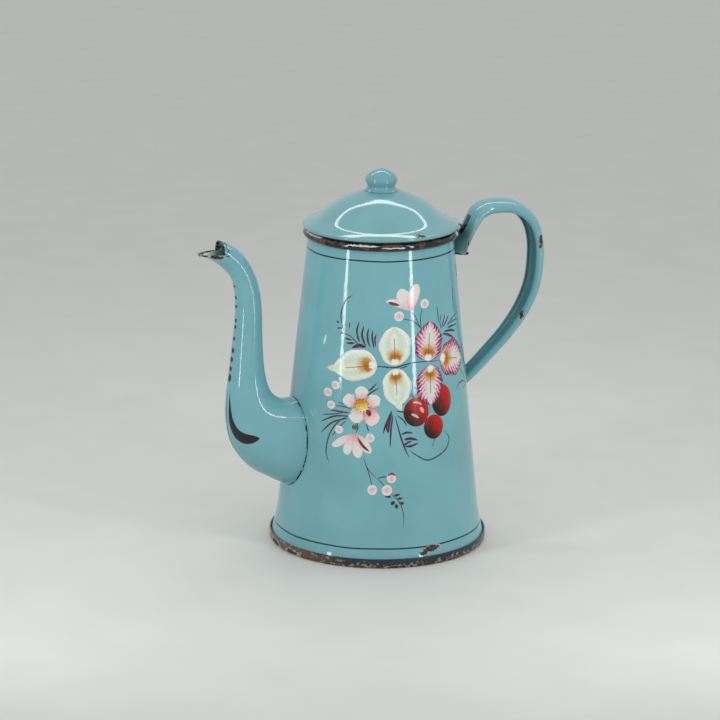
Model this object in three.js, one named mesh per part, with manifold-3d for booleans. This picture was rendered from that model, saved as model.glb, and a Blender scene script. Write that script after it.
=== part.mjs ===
// Enamelled coffee pot: a tapered sheet-steel body with a swan-neck spout, a channel-section
// handle and a lid that swings on a pin held in the handle's upper root.
// Millimetres, +Z up. The origin is the centre of the flat bottom, the spout points along -X
// and the handle along +X.
import * as THREE from 'three';
import { mergeVertices } from 'three/addons/utils/BufferGeometryUtils.js';
import Module from 'manifold-3d';

const wasm = await Module();
wasm.setup();

// Body and base
const RIM_HEIGHT = 207.7;
const RIM_WALL_RADIUS = 47.3;
const CONE_FOOT_RADIUS = 66.5;
const CONE_FOOT_HEIGHT = 24;
const SHEET = 1;
const BEAD_RADIUS = 2.6;
const BEAD_SET_OUT = 0.8;
const CURL_SHEET = 0.9;
const PAN_RADIUS = 71.9;
const PAN_RIM_HEIGHT = 6.4;
const PAN_CORNER = 2;

// Strainer: rows of holes through the wall behind the spout's root
const STRAINER_HOLE = 3.6;
const STRAINER_PITCH = 8;
const STRAINER_HEIGHT = 71;

// Spout
const SPOUT_FOOT = 42;
const SPOUT_RISE = 166.6;
const SPOUT_STANDOFF = 75.5;
const SPOUT_ROOT_WIDTH = 46;
const SPOUT_SHEET = 1;

// Handle
const HANDLE_RISE = 16.6;
const HANDLE_SPAN = 124;
const HANDLE_STANDOFF = 66;
const ROOT_STANDOFF = 12.3;
const HANDLE_WIDTH = 21;
const HANDLE_SWELL = 4.3;
const HANDLE_SHEET = 1;

// Lid
const LIP_RADIUS = 1.8;
const LIP_OVERHANG = 0.3;
const LID_SHEET = 1;
const DOME_HEIGHT = 22.8;
const COLLAR_DROP = 7;
const COLLAR_PLAY = 0.7;
const COLLAR_SHEET = 0.8;

// Knob and the rivet that holds it to the dome
const KNOB_RADIUS = 10.5;
const KNOB_HEIGHT = 14.2;
const KNOB_SHEET = 1.1;
const RIVET_RADIUS = 2.2;
const RIVET_HEAD_RADIUS = 5;
const RIVET_HEAD = 1.4;

// Hinge
const HINGE_DROP = 1.7;
const PIN_RADIUS = 1;
const PIN_LENGTH = 11;
const KNUCKLE_SHEET = 0.75;
const TONGUE_WIDTH = 5.5;
const TONGUE_SHEET = 1.1;
const EAR_SHEET = 1;
const EAR_HEIGHT = 7;
const EAR_SET_BACK = 0.5;
const SLOT_RISE = 10.5;
const SLOT_DROP = 4.2;

// Clearances
const SEAT_GAP = 0.3;
const PIN_PLAY = 0.1;
const SIDE_PLAY = 0.3;
const CUT_OVERRUN = 6;

// Facets round and along each form
const BODY_FACETS = 48;
const LID_FACETS = 48;
const KNOB_FACETS = 24;
const BEAD_FACETS = 9;
const LIP_FACETS = 7;
const WIRE_FACETS = 8;
const HOLE_FACETS = 8;
const PIN_FACETS = 12;
const SPOUT_FACETS = 20;
const SPOUT_STEPS = 26;
const HANDLE_STEPS = 34;
const CHANNEL_FACETS = 8;
const CURVE_FACETS = 5;
const DOME_FACETS = 10;

const at = (across, up) => new THREE.Vector2(across, up);
const degrees = THREE.MathUtils.radToDeg;
const radians = THREE.MathUtils.degToRad;

// Outside radius of the straight tapered wall at a height
function wallRadius(height) {
  const taper = (CONE_FOOT_RADIUS - RIM_WALL_RADIUS) / (RIM_HEIGHT - CONE_FOOT_HEIGHT);
  return RIM_WALL_RADIUS + taper * (RIM_HEIGHT - height);
}

// Points of an arc in the profile plane, from one angle to another in degrees
function arc(centre, radius, from, to, count) {
  const points = [];
  for (let i = 0; i <= count; i += 1) {
    const angle = radians(from + ((to - from) * i) / count);
    points.push(at(centre.x + radius * Math.cos(angle), centre.y + radius * Math.sin(angle)));
  }
  return points;
}

// Volume that a mesh's faces enclose, negative where they point in
function enclosed(vertices, triangles) {
  const corner = (n) => new THREE.Vector3().fromArray(vertices, 3 * triangles[n]);
  let volume = 0;
  for (let n = 0; n < triangles.length; n += 3) {
    volume += corner(n).dot(corner(n + 1).cross(corner(n + 2)));
  }
  return volume;
}

// A closed triangle mesh as a solid whose faces point out
function solidOf(geometry) {
  const plain = geometry.index ? geometry.toNonIndexed() : geometry.clone();
  plain.deleteAttribute('normal');
  plain.deleteAttribute('uv');
  const merged = mergeVertices(plain);
  const triVerts = new Uint32Array(merged.index.array);
  const vertProperties = new Float32Array(merged.attributes.position.array);
  if (enclosed(vertProperties, triVerts) < 0) {
    triVerts.reverse();
  }
  return new wasm.Manifold(new wasm.Mesh({ numProp: 3, vertProperties, triVerts }));
}

function geometryOf(solid) {
  const mesh = solid.getMesh();
  const geometry = new THREE.BufferGeometry();
  geometry.setAttribute('position', new THREE.BufferAttribute(mesh.vertProperties, 3));
  geometry.setIndex(new THREE.BufferAttribute(mesh.triVerts, 1));
  return geometry;
}

// A solid of revolution: the profile starts and ends on the axis
function turned(profile, facets) {
  return solidOf(new THREE.LatheGeometry(profile, facets).rotateX(Math.PI / 2));
}

// A ring or shell of revolution: the profile closes on itself
function turnedRing(profile, facets) {
  return turned([...profile, profile[0]], facets);
}

// A solid skinned over rings of points, with both ends capped on the rings' flat outline
function skinned(rings, capOutline) {
  const size = rings[0].length;
  const corners = [];
  for (let ring = 1; ring < rings.length; ring += 1) {
    for (let n = 0; n < size; n += 1) {
      const [a, b] = [rings[ring - 1][n], rings[ring - 1][(n + 1) % size]];
      const [c, d] = [rings[ring][n], rings[ring][(n + 1) % size]];
      corners.push(a, b, d, a, d, c);
    }
  }
  const [first, last] = [rings[0], rings[rings.length - 1]];
  for (const [i, j, k] of THREE.ShapeUtils.triangulateShape(capOutline, [])) {
    corners.push(first[k], first[j], first[i], last[i], last[j], last[k]);
  }
  return solidOf(new THREE.BufferGeometry().setFromPoints(corners));
}

// A flat outline in the pot's upright middle plane, thickened across the pot
function plate(outline, width, middle = 0) {
  const shape = new THREE.Shape(outline);
  const geometry = new THREE.ExtrudeGeometry(shape, { depth: width, bevelEnabled: false });
  geometry.rotateX(Math.PI / 2);
  geometry.translate(0, middle + width / 2, 0);
  return solidOf(geometry);
}

// A round bar that lies across the pot
function bar(radius, width, centre, facets) {
  const geometry = new THREE.CylinderGeometry(radius, radius, width, facets);
  return solidOf(geometry.translate(centre.x, 0, centre.y));
}

// Body shell: a foot flange, a hollow curve into the taper, and an edge curled round a wire
const beadCentre = at(RIM_WALL_RADIUS + BEAD_SET_OUT, RIM_HEIGHT);
const beadTop = RIM_HEIGHT + BEAD_RADIUS;
const beadOutside = beadCentre.x + BEAD_RADIUS;
const curlBore = BEAD_RADIUS - CURL_SHEET;

function footCurve() {
  const flange = PAN_RADIUS - SHEET - SEAT_GAP;
  const flangeTopShare = 0.86;
  const sweepAcrossShare = 0.46;
  const sweepUpShare = 0.22;
  const start = at(flange, PAN_RIM_HEIGHT * flangeTopShare);
  const end = at(CONE_FOOT_RADIUS, CONE_FOOT_HEIGHT);
  const sweep = at(
    start.x + (end.x - start.x) * sweepAcrossShare,
    start.y + (end.y - start.y) * sweepUpShare,
  );
  const curve = new THREE.QuadraticBezierCurve(start, sweep, end);
  return [at(flange, SHEET + SEAT_GAP), ...curve.getPoints(CURVE_FACETS)];
}

function bodyShell() {
  const curlEndAngle = -70;
  const wallAngle = degrees(Math.acos(BEAD_SET_OUT / curlBore)) - 180;
  const mouthAngle = degrees(Math.acos((BEAD_SET_OUT + SHEET) / BEAD_RADIUS)) - 180;
  const outside = footCurve();
  const inside = outside.map((p) => at(p.x - SHEET, p.y)).reverse();
  const bore = arc(beadCentre, curlBore, wallAngle, curlEndAngle - 360, BEAD_FACETS);
  const curl = arc(beadCentre, BEAD_RADIUS, curlEndAngle - 360, mouthAngle, BEAD_FACETS);
  const shell = turnedRing([...outside, ...bore, ...curl, ...inside], BODY_FACETS);
  return shell.subtract(strainerHoles());
}

function rimWire() {
  return turnedRing(arc(beadCentre, curlBore - SEAT_GAP, 0, 315, WIRE_FACETS - 1), BODY_FACETS);
}

// Holes in a hexagonal pattern; each row holds as many as fit the oval behind the spout's root
function strainerHoles() {
  const ovalWidthShare = 0.72;
  const rowShare = Math.sqrt(3) / 2;
  const halfHeight = STRAINER_PITCH * rowShare * 2;
  const halfWidth = (SPOUT_ROOT_WIDTH / 2) * ovalWidthShare;
  const holes = [];
  for (let row = -2; row <= 2; row += 1) {
    const up = row * STRAINER_PITCH * rowShare;
    const reach = halfWidth * Math.sqrt(1 - (up / (halfHeight + STRAINER_PITCH)) ** 2);
    const offset = row % 2 === 0 ? 0 : STRAINER_PITCH / 2;
    const columns = Math.floor((reach - offset) / STRAINER_PITCH);
    for (let column = -columns - (offset > 0 ? 1 : 0); column <= columns; column += 1) {
      holes.push(strainerHole(column * STRAINER_PITCH + offset, STRAINER_HEIGHT + up));
    }
  }
  return wasm.Manifold.union(holes);
}

function strainerHole(aside, up) {
  const length = 2 * CUT_OVERRUN + RIM_WALL_RADIUS / 2;
  const geometry = new THREE.CylinderGeometry(
    STRAINER_HOLE / 2,
    STRAINER_HOLE / 2,
    length,
    HOLE_FACETS,
  );
  geometry.rotateZ(Math.PI / 2);
  return solidOf(geometry.translate(-wallRadius(up), aside, up));
}

// Base pan: the flat bottom, whose turned-up rim clasps the body's foot flange
function basePan() {
  const rimEdge = SHEET / 2;
  const corner = arc(at(PAN_RADIUS - PAN_CORNER, PAN_CORNER), PAN_CORNER, -90, 0, 3);
  const edge = arc(at(PAN_RADIUS - rimEdge, PAN_RIM_HEIGHT - rimEdge), rimEdge, 0, 180, 3);
  const inside = at(PAN_RADIUS - SHEET, SHEET);
  return turned([at(0, 0), ...corner, ...edge, inside, at(0, SHEET)], BODY_FACETS);
}

// Everything inside the wall, a seat's gap larger, that the spout and the handle are cut back to
function wallCutter() {
  const low = -CUT_OVERRUN;
  const high = RIM_HEIGHT + HANDLE_RISE;
  const profile = [
    at(0, low),
    at(wallRadius(low) + SEAT_GAP, low),
    at(wallRadius(high) + SEAT_GAP, high),
    at(0, high),
  ];
  return turned(profile, BODY_FACETS);
}

// Spout: ovals, each spanned by a point of the front outline and one of the back outline.
// Points are [distance from the wall, height], as shares of the stand-off and the rise, and
// each oval's width is a share of the root's width.
const spoutFrontShares = [
  [-0.082, -0.024], [0.03, 0.003], [0.208, 0.044], [0.339, 0.078], [0.445, 0.124], [0.543, 0.188],
  [0.602, 0.27], [0.621, 0.36], [0.621, 0.462], [0.617, 0.57], [0.618, 0.678], [0.637, 0.768],
  [0.682, 0.84], [0.756, 0.882], [0.847, 0.915], [0.925, 0.935], [1.01, 0.946], [1.085, 0.952],
];
const spoutBackShares = [
  [-0.074, 0.354], [0.02, 0.349], [0.103, 0.348], [0.173, 0.362], [0.227, 0.384], [0.265, 0.413],
  [0.299, 0.456], [0.328, 0.513], [0.352, 0.582], [0.373, 0.654], [0.394, 0.726], [0.427, 0.792],
  [0.478, 0.852], [0.545, 0.905], [0.627, 0.948], [0.719, 0.979], [0.837, 1.002], [0.965, 1.011],
];
const spoutWidthShares = [
  1, 1, 0.93, 0.84, 0.76, 0.69, 0.62, 0.55, 0.49,
  0.44, 0.4, 0.38, 0.37, 0.365, 0.365, 0.37, 0.375, 0.38,
];

function spoutPoint([outShare, upShare]) {
  const height = SPOUT_FOOT + SPOUT_RISE * upShare;
  return new THREE.Vector3(-wallRadius(height) - SPOUT_STANDOFF * outShare, 0, height);
}

function spoutSkin(wall) {
  const front = new THREE.CatmullRomCurve3(spoutFrontShares.map(spoutPoint));
  const back = new THREE.CatmullRomCurve3(spoutBackShares.map(spoutPoint));
  const widths = new THREE.SplineCurve(spoutWidthShares.map((share, n) => at(n, share)));
  const rings = [];
  for (let step = 0; step <= SPOUT_STEPS; step += 1) {
    const along = step / SPOUT_STEPS;
    const [low, high] = [front.getPoint(along), back.getPoint(along)];
    const middle = new THREE.Vector3().addVectors(low, high).divideScalar(2);
    const deep = new THREE.Vector3().subVectors(high, low).divideScalar(2);
    deep.setLength(deep.length() - wall);
    const halfWidth = (SPOUT_ROOT_WIDTH / 2) * widths.getPoint(along).y - wall;
    rings.push(circle(SPOUT_FACETS, (turn) => {
      const aside = new THREE.Vector3(0, halfWidth * Math.sin(turn), 0);
      return middle.clone().addScaledVector(deep, Math.cos(turn)).add(aside);
    }));
  }
  return skinned(rings, circle(SPOUT_FACETS, (turn) => at(Math.cos(turn), Math.sin(turn))));
}

function circle(facets, place) {
  return Array.from({ length: facets }, (_, n) => place((2 * Math.PI * n) / facets));
}

// The beak: the tube's upper half is cut square, and its lower half runs on as a pouring lip
function beakCutter() {
  const notchOutShare = 0.823;
  const notchUpShare = 0.954;
  const tipUpShare = 0.947;
  const notch = spoutPoint([notchOutShare, notchUpShare]);
  const tip = spoutPoint([1, tipUpShare]);
  const high = notch.z + SPOUT_ROOT_WIDTH;
  const far = tip.x - SPOUT_ROOT_WIDTH;
  const low = tip.z - SPOUT_ROOT_WIDTH;
  const outline = [
    at(notch.x, notch.z),
    at(tip.x, tip.z),
    at(tip.x, low),
    at(far, low),
    at(far, high),
    at(notch.x, high),
  ];
  return plate(outline, SPOUT_ROOT_WIDTH);
}

function spout() {
  const tube = spoutSkin(0).subtract(spoutSkin(SPOUT_SHEET));
  return tube.subtract(wallCutter()).subtract(beakCutter());
}

// Handle: the line of the strap's back from the upper root, over the arch, to the lower root.
// Points are [distance from the wall, drop below the top], as shares of a stand-off and of the
// handle's span, then the strap's width and depth there, as shares of its greatest width and
// of its depth on the arch.
const handleRootShares = [
  [-0.09, 0.273, 0.84, 1.63],
  [-0.052, 0.252, 0.85, 1.6],
  [0.065, 0.227, 0.88, 1.45],
  [0.315, 0.198, 0.92, 1.22],
  [0.624, 0.167, 0.96, 0.98],
  [0.929, 0.131, 0.98, 0.82],
  [1.188, 0.086, 1, 0.72],
];
const handleGripShares = [
  [0.279, 0.044, 1, 0.7],
  [0.394, 0.012, 1, 0.74],
  [0.539, 0.004, 1, 0.88],
  [0.704, 0.015, 1, 1],
  [0.848, 0.059, 1, 1.05],
  [0.943, 0.13, 1, 1.05],
  [0.982, 0.233, 1, 1.05],
  [0.966, 0.353, 1, 1.05],
  [0.904, 0.488, 0.98, 1.02],
  [0.77, 0.62, 0.94, 0.96],
  [0.577, 0.743, 0.89, 0.88],
  [0.368, 0.846, 0.87, 0.82],
  [0.18, 0.934, 0.86, 0.79],
  [-0.025, 1.022, 0.85, 0.78],
];

function backPoint([outShare, downShare], standoff) {
  const height = RIM_HEIGHT + HANDLE_RISE - HANDLE_SPAN * downShare;
  return new THREE.Vector3(wallRadius(height) + standoff * outShare, 0, height);
}

const handleBack = new THREE.CatmullRomCurve3([
  ...handleRootShares.map((shares) => backPoint(shares, ROOT_STANDOFF)),
  ...handleGripShares.map((shares) => backPoint(shares, HANDLE_STANDOFF)),
]);

// The strap's back at a place along the handle, with the direction towards its open side
function strapFrame(along) {
  const heading = handleBack.getTangent(along);
  const inward = new THREE.Vector3(heading.z, 0, -heading.x);
  return { back: handleBack.getPoint(along), heading, inward };
}

// Section of the strap: a half-round channel of one sheet with its edges rolled in, as points
// [aside, deep] from the middle of its back
function channel(width, swell) {
  const rollAngle = 125;
  const outer = [];
  const inner = [];
  for (let n = -CHANNEL_FACETS; n <= CHANNEL_FACETS; n += 2) {
    const turn = radians((rollAngle * n) / CHANNEL_FACETS);
    outer.push(at((width / 2) * Math.sin(turn), swell * (1 - Math.cos(turn))));
    const [halfWidth, reach] = [width / 2 - HANDLE_SHEET, swell - HANDLE_SHEET];
    inner.unshift(at(halfWidth * Math.sin(turn), swell - reach * Math.cos(turn)));
  }
  return [...outer, ...inner];
}

function handleStrap() {
  const shares = [...handleRootShares, ...handleGripShares];
  const widths = new THREE.SplineCurve(shares.map((row, n) => at(n, row[2])));
  const swells = new THREE.SplineCurve(shares.map((row, n) => at(n, row[3])));
  const rings = [];
  for (let step = 0; step <= HANDLE_STEPS; step += 1) {
    const along = step / HANDLE_STEPS;
    const { back, inward } = strapFrame(along);
    const width = HANDLE_WIDTH * widths.getPoint(along).y;
    const swell = HANDLE_SWELL * swells.getPoint(along).y;
    rings.push(channel(width, swell).map((p) => {
      const aside = new THREE.Vector3(0, p.x, 0);
      return back.clone().add(aside).addScaledVector(inward, p.y);
    }));
  }
  return skinned(rings, channel(HANDLE_WIDTH, HANDLE_SWELL));
}

// Hinge pin: behind the strap's back at the rim, with the knuckle a seat's gap off the strap
const knuckleRadius = PIN_RADIUS + PIN_PLAY + KNUCKLE_SHEET;
const hinge = hingeFrame();
const pin = hinge.pin;

function hingeFrame() {
  let along = 0;
  while (handleBack.getPoint(along).z < RIM_HEIGHT - HINGE_DROP) {
    along += 1 / (HANDLE_STEPS * HANDLE_STEPS);
  }
  const { back, heading, inward } = strapFrame(along);
  const centre = back.clone().addScaledVector(inward, HANDLE_SHEET + SEAT_GAP + knuckleRadius);
  const flat = (v) => at(v.x, v.z);
  return { pin: flat(centre), heading: flat(heading), inward: flat(inward) };
}

// The slot in the strap's back that the lid's tongue swings in
function tongueSlot() {
  const outline = [
    at(beadOutside, pin.y - SLOT_DROP),
    at(pin.x + SLOT_RISE, pin.y - SLOT_DROP),
    at(pin.x + SLOT_RISE, pin.y + SLOT_RISE),
    at(beadOutside, pin.y + SLOT_RISE),
  ];
  return plate(outline, TONGUE_WIDTH + 2 * SIDE_PLAY);
}

function handle() {
  return handleStrap().subtract(wallCutter()).subtract(tongueSlot());
}

// A point beside the hinge pin, measured along the strap's inward direction and its heading
function byPin(inward, along) {
  return pin.clone().addScaledVector(hinge.inward, inward).addScaledVector(hinge.heading, along);
}

// Hinge bracket: a folded clip inside the strap, whose two ears hold the pin
function hingeBracket() {
  const half = EAR_HEIGHT / 2;
  const front = EAR_SET_BACK - knuckleRadius;
  const webFront = knuckleRadius + SEAT_GAP;
  const webBack = webFront + EAR_SHEET;
  const inside = TONGUE_WIDTH / 2 + SIDE_PLAY;
  const ear = [byPin(front, -half), byPin(webBack, -half), byPin(webBack, half), byPin(front, half)];
  const throat = [
    byPin(front - CUT_OVERRUN, -EAR_HEIGHT),
    byPin(webFront, -EAR_HEIGHT),
    byPin(webFront, EAR_HEIGHT),
    byPin(front - CUT_OVERRUN, EAR_HEIGHT),
  ];
  const block = plate(ear, 2 * (inside + EAR_SHEET));
  return block.subtract(plate(throat, 2 * inside)).subtract(pinBore());
}

function pinBore() {
  return bar(PIN_RADIUS + PIN_PLAY, PIN_LENGTH + CUT_OVERRUN, pin, PIN_FACETS);
}

function hingePin() {
  return bar(PIN_RADIUS, PIN_LENGTH, pin, PIN_FACETS);
}

// Lid: an ogee dome of one sheet that ends in a rolled lip on the rim bead
const lipCentre = at(beadOutside + LIP_OVERHANG - LIP_RADIUS, beadTop + SEAT_GAP + LIP_RADIUS);
const domeFoot = lipCentre.y + LIP_RADIUS;
const rivetHole = RIVET_RADIUS + SEAT_GAP;

// The dome's outside from the crown down to the brim, as shares of the lip's radius and of the
// dome's height
const domeShares = [
  [0.1, 0.985], [0.22, 0.915], [0.38, 0.79], [0.543, 0.65], [0.64, 0.515],
  [0.715, 0.385], [0.79, 0.252], [0.838, 0.158], [0.89, 0.075], [0.945, 0.022],
];

const domeOutside = [
  at(rivetHole, domeFoot + DOME_HEIGHT),
  ...new THREE.SplineCurve(
    domeShares.map(([out, up]) => at(lipCentre.x * out, domeFoot + DOME_HEIGHT * up)),
  ).getPoints(DOME_FACETS),
];
const domeInside = offset(domeOutside, LID_SHEET);
domeInside[0].x = rivetHole;

// A line of points moved sideways by a distance, to the right of its direction
function offset(points, distance) {
  return points.map((p, n) => {
    const before = points[Math.max(n - 1, 0)];
    const after = points[Math.min(n + 1, points.length - 1)];
    const run = at(after.x - before.x, after.y - before.y).normalize();
    return at(p.x + run.y * distance, p.y - run.x * distance);
  });
}

// Height at a radius of a line whose points run outwards from the axis
function heightAt(line, radius) {
  const n = line.findIndex((p) => p.x > radius);
  const [a, b] = [line[n - 1], line[n]];
  return a.y + ((b.y - a.y) * (radius - a.x)) / (b.x - a.x);
}

function lidDome() {
  const lip = arc(lipCentre, LIP_RADIUS, 90, -180, LIP_FACETS);
  return turnedRing([...domeOutside, ...lip, ...[...domeInside].reverse()], LID_FACETS);
}

// Lid collar: the ring that drops into the mouth and keeps the lid central
function lidCollar() {
  const outside = beadCentre.x - BEAD_RADIUS - COLLAR_PLAY;
  const low = beadTop - COLLAR_DROP;
  const high = heightAt(domeInside, outside) - SEAT_GAP;
  const profile = [
    at(outside, low),
    at(outside, high),
    at(outside - COLLAR_SHEET, high),
    at(outside - COLLAR_SHEET, low),
  ];
  return turnedRing(profile, LID_FACETS);
}

// Knob: a pressed hollow button that stands on the dome, as shares of its radius and height
const knobShares = [
  [1.05, 0], [0.9, 0.1], [0.857, 0.19], [0.92, 0.3], [0.985, 0.4], [1, 0.52],
  [0.905, 0.66], [0.695, 0.815], [0.34, 0.945], [0, 1],
];
const knobFoot = heightAt(domeOutside, KNOB_RADIUS) + SEAT_GAP;
const knobOutside = knobShares.map(([out, up]) => at(KNOB_RADIUS * out, knobFoot + KNOB_HEIGHT * up));
const knobInside = offset(knobOutside, -KNOB_SHEET);
knobInside[0].y = knobFoot;
knobInside[knobInside.length - 1].x = 0;

function lidKnob() {
  return turned([...knobInside].reverse().concat(knobOutside), KNOB_FACETS);
}

// Knob rivet: its stem fills the knob's height, and its head spreads under the dome
function knobRivet() {
  const top = heightAt([...knobInside].reverse(), RIVET_RADIUS) - SEAT_GAP;
  const headTop = heightAt(domeInside, RIVET_HEAD_RADIUS) - SEAT_GAP;
  const profile = [
    at(0, headTop - RIVET_HEAD),
    at(RIVET_HEAD_RADIUS, headTop - RIVET_HEAD),
    at(RIVET_HEAD_RADIUS, headTop),
    at(RIVET_RADIUS, headTop),
    at(RIVET_RADIUS, top),
    at(0, top),
  ];
  return turned(profile, PIN_FACETS);
}

// Lid tongue: a strip on the lip's outside that reaches over the bead to its knuckle on the pin
function lidTongue() {
  const gripShare = 0.35;
  const bendShare = 0.5;
  const upright = lipCentre.x + LIP_RADIUS + SEAT_GAP + TONGUE_SHEET / 2;
  const line = [
    at(upright, lipCentre.y + LIP_RADIUS * gripShare),
    at(upright, lipCentre.y - LIP_RADIUS * bendShare),
    pin,
  ];
  const outline = [...offset(line, TONGUE_SHEET / 2), ...offset(line, -TONGUE_SHEET / 2).reverse()];
  const knuckle = bar(knuckleRadius, TONGUE_WIDTH, pin, PIN_FACETS);
  const strip = plate(outline, TONGUE_WIDTH).add(knuckle);
  return strip.subtract(pinBore()).subtract(lipCutter());
}

// Everything inside the lip's outside, a seat's gap larger
function lipCutter() {
  const lip = lipCentre.x + LIP_RADIUS + SEAT_GAP;
  const profile = [
    at(0, RIM_HEIGHT),
    at(lip, RIM_HEIGHT),
    at(lip, domeFoot + CUT_OVERRUN),
    at(0, domeFoot + CUT_OVERRUN),
  ];
  return turned(profile, LID_FACETS);
}

// Finishes
const enamel = new THREE.MeshStandardMaterial({ color: 0x75a8ae, roughness: 0.22 });
const lidEnamel = new THREE.MeshStandardMaterial({ color: 0x7db3b6, roughness: 0.2 });
const darkEnamel = new THREE.MeshStandardMaterial({ color: 0x22303c, roughness: 0.3 });
const bareIron = new THREE.MeshStandardMaterial({ color: 0x4a4440, roughness: 0.6, metalness: 0.9 });

function piece(name, solid, material) {
  const mesh = new THREE.Mesh(geometryOf(solid), material);
  mesh.name = name;
  return mesh;
}

const pot = new THREE.Group();
pot.add(
  piece('body_shell', bodyShell(), enamel),
  piece('rim_wire', rimWire(), bareIron),
  piece('base_pan', basePan(), darkEnamel),
  piece('spout', spout(), enamel),
  piece('handle', handle(), enamel),
  piece('hinge_bracket', hingeBracket(), bareIron),
  piece('hinge_pin', hingePin(), bareIron),
);

const lid = new THREE.Group();
lid.add(
  piece('lid_dome', lidDome(), lidEnamel),
  piece('lid_collar', lidCollar(), lidEnamel),
  piece('lid_tongue', lidTongue(), bareIron),
  piece('lid_knob', lidKnob(), lidEnamel),
  piece('knob_rivet', knobRivet(), bareIron),
);

const coffeePot = new THREE.Group();
coffeePot.add(pot, lid);

export default coffeePot;
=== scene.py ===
# An enamelled coffee pot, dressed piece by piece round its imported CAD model.
# Metres, +Z up; the spout points along -X, the handle along +X, and the pot stands on z = 0.
# Sizes are written in millimetres, and MM brings them to metres.
import math

import bmesh
import bpy
from mathutils import Matrix, Vector


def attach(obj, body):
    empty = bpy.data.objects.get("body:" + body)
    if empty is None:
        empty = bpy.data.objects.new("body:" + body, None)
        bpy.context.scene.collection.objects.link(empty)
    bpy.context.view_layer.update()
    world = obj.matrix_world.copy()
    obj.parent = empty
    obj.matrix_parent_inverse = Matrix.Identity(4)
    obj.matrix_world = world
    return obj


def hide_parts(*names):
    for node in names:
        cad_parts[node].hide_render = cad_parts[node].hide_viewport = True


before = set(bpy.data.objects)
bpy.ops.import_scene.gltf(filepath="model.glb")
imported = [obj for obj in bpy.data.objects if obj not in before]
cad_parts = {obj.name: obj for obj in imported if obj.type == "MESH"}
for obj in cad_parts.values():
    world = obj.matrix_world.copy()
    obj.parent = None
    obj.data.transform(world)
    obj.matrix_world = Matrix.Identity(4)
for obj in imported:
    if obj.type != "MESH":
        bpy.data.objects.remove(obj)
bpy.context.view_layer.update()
MM = 0.001

# Base pan: the flat bottom, pressed from sheet steel and dipped in blue-black enamel. Its rim is
# turned up and clinched round the body's foot, so it takes every knock: the enamel has flaked
# along the lower edge and the steel under it has rusted.
SHEET = 1.0
PAN_RADIUS = 71.9
PAN_RIM_HEIGHT = 6.4
PAN_CORNER = 2.0
CORNER_STEPS = 8
ROUND_STEPS = 192
MERGED, SLIVER = 0.002, 0.001
SHARP_EDGE = 35
INK_BLUE = "#1d2a35"
CHIP_REACH, CHIP_DROP = 5, 0.22
FLAKES_HIGH, FLAKES_LOW = 6.2, 1.5
FLAKED_SIDE = (-64, -36)
BROWN_SIDE = (-66, -40)
# The sockets of a colour Mix node: its two colours, and what it gives out.
UNDER, OVER, MIXED = 6, 7, 2


def arc(centre, radius, start, end, count):
    """Points (radius, height) of an arc in the profile plane, between two angles in degrees."""
    points = []
    for n in range(count + 1):
        turn = math.radians(start + (end - start) * n / count)
        points.append((centre[0] + radius * math.cos(turn), centre[1] + radius * math.sin(turn)))
    return points


def finished(name, mesh):
    """A bmesh as an object at the origin, smooth apart from its sharp edges."""
    data = bpy.data.meshes.new(name)
    mesh.to_mesh(data)
    mesh.free()
    data.shade_smooth()
    data.set_sharp_from_angle(angle=math.radians(SHARP_EDGE))
    made = bpy.data.objects.new(name, data)
    bpy.context.scene.collection.objects.link(made)
    return made


def turned(name, profile, steps=ROUND_STEPS):
    """A piece of revolution about the pot's axis, from a closed outline of (radius, height)."""
    mesh = bmesh.new()
    corners = [mesh.verts.new((r * MM, 0, z * MM)) for r, z in profile]
    for here, there in zip(corners, corners[1:] + corners[:1]):
        if here.co.x > 0 or there.co.x > 0:
            mesh.edges.new((here, there))
    bmesh.ops.spin(
        mesh,
        geom=mesh.verts[:] + mesh.edges[:],
        cent=(0, 0, 0),
        axis=(0, 0, 1),
        angle=math.tau,
        steps=steps,
        use_merge=True,
    )
    bmesh.ops.remove_doubles(mesh, verts=mesh.verts, dist=MERGED * MM)
    bmesh.ops.dissolve_degenerate(mesh, edges=mesh.edges, dist=SLIVER * MM)
    bmesh.ops.recalc_face_normals(mesh, faces=mesh.faces)
    return finished(name, mesh)


def linear(code):
    """A colour written as an sRGB hex value, in the linear light that a shader takes."""
    parts = [int(code[n : n + 2], 16) / 255 for n in (1, 3, 5)]
    return [p / 12.92 if p <= 0.04045 else ((p + 0.055) / 1.055) ** 2.4 for p in parts] + [1]


def node(tree, kind, inputs, out=0, **settings):
    """Adds a shader node with its settings, values and links, and returns one of its outputs."""
    made = tree.nodes.new("ShaderNode" + kind)
    ramp = settings.pop("ramp", [])
    while len(ramp) > len(made.color_ramp.elements if ramp else []):
        made.color_ramp.elements.new(0.5)
    for stop, (share, code) in zip(made.color_ramp.elements if ramp else [], ramp):
        stop.position = share
        stop.color = linear(code)
    for name, value in settings.items():
        setattr(made, name, value)
    for name, value in inputs.items():
        if isinstance(value, bpy.types.NodeSocket):
            tree.links.new(value, made.inputs[name])
        else:
            made.inputs[name].default_value = value
    return made.outputs[out]


def surface(name, metallic, roughness):
    """A new material: itself, its tree, its shader, and the place on the pot in millimetres."""
    material = bpy.data.materials.new(name)
    material.use_nodes = True
    tree = material.node_tree
    shader = tree.nodes["Principled BSDF"]
    shader.inputs["Metallic"].default_value = metallic
    shader.inputs["Roughness"].default_value = roughness
    place = tree.nodes.new("ShaderNodeTexCoord").outputs["Object"]
    place = node(tree, "VectorMath", {0: place, "Scale": 1 / MM}, operation="SCALE")
    return material, tree, shader, place


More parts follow.
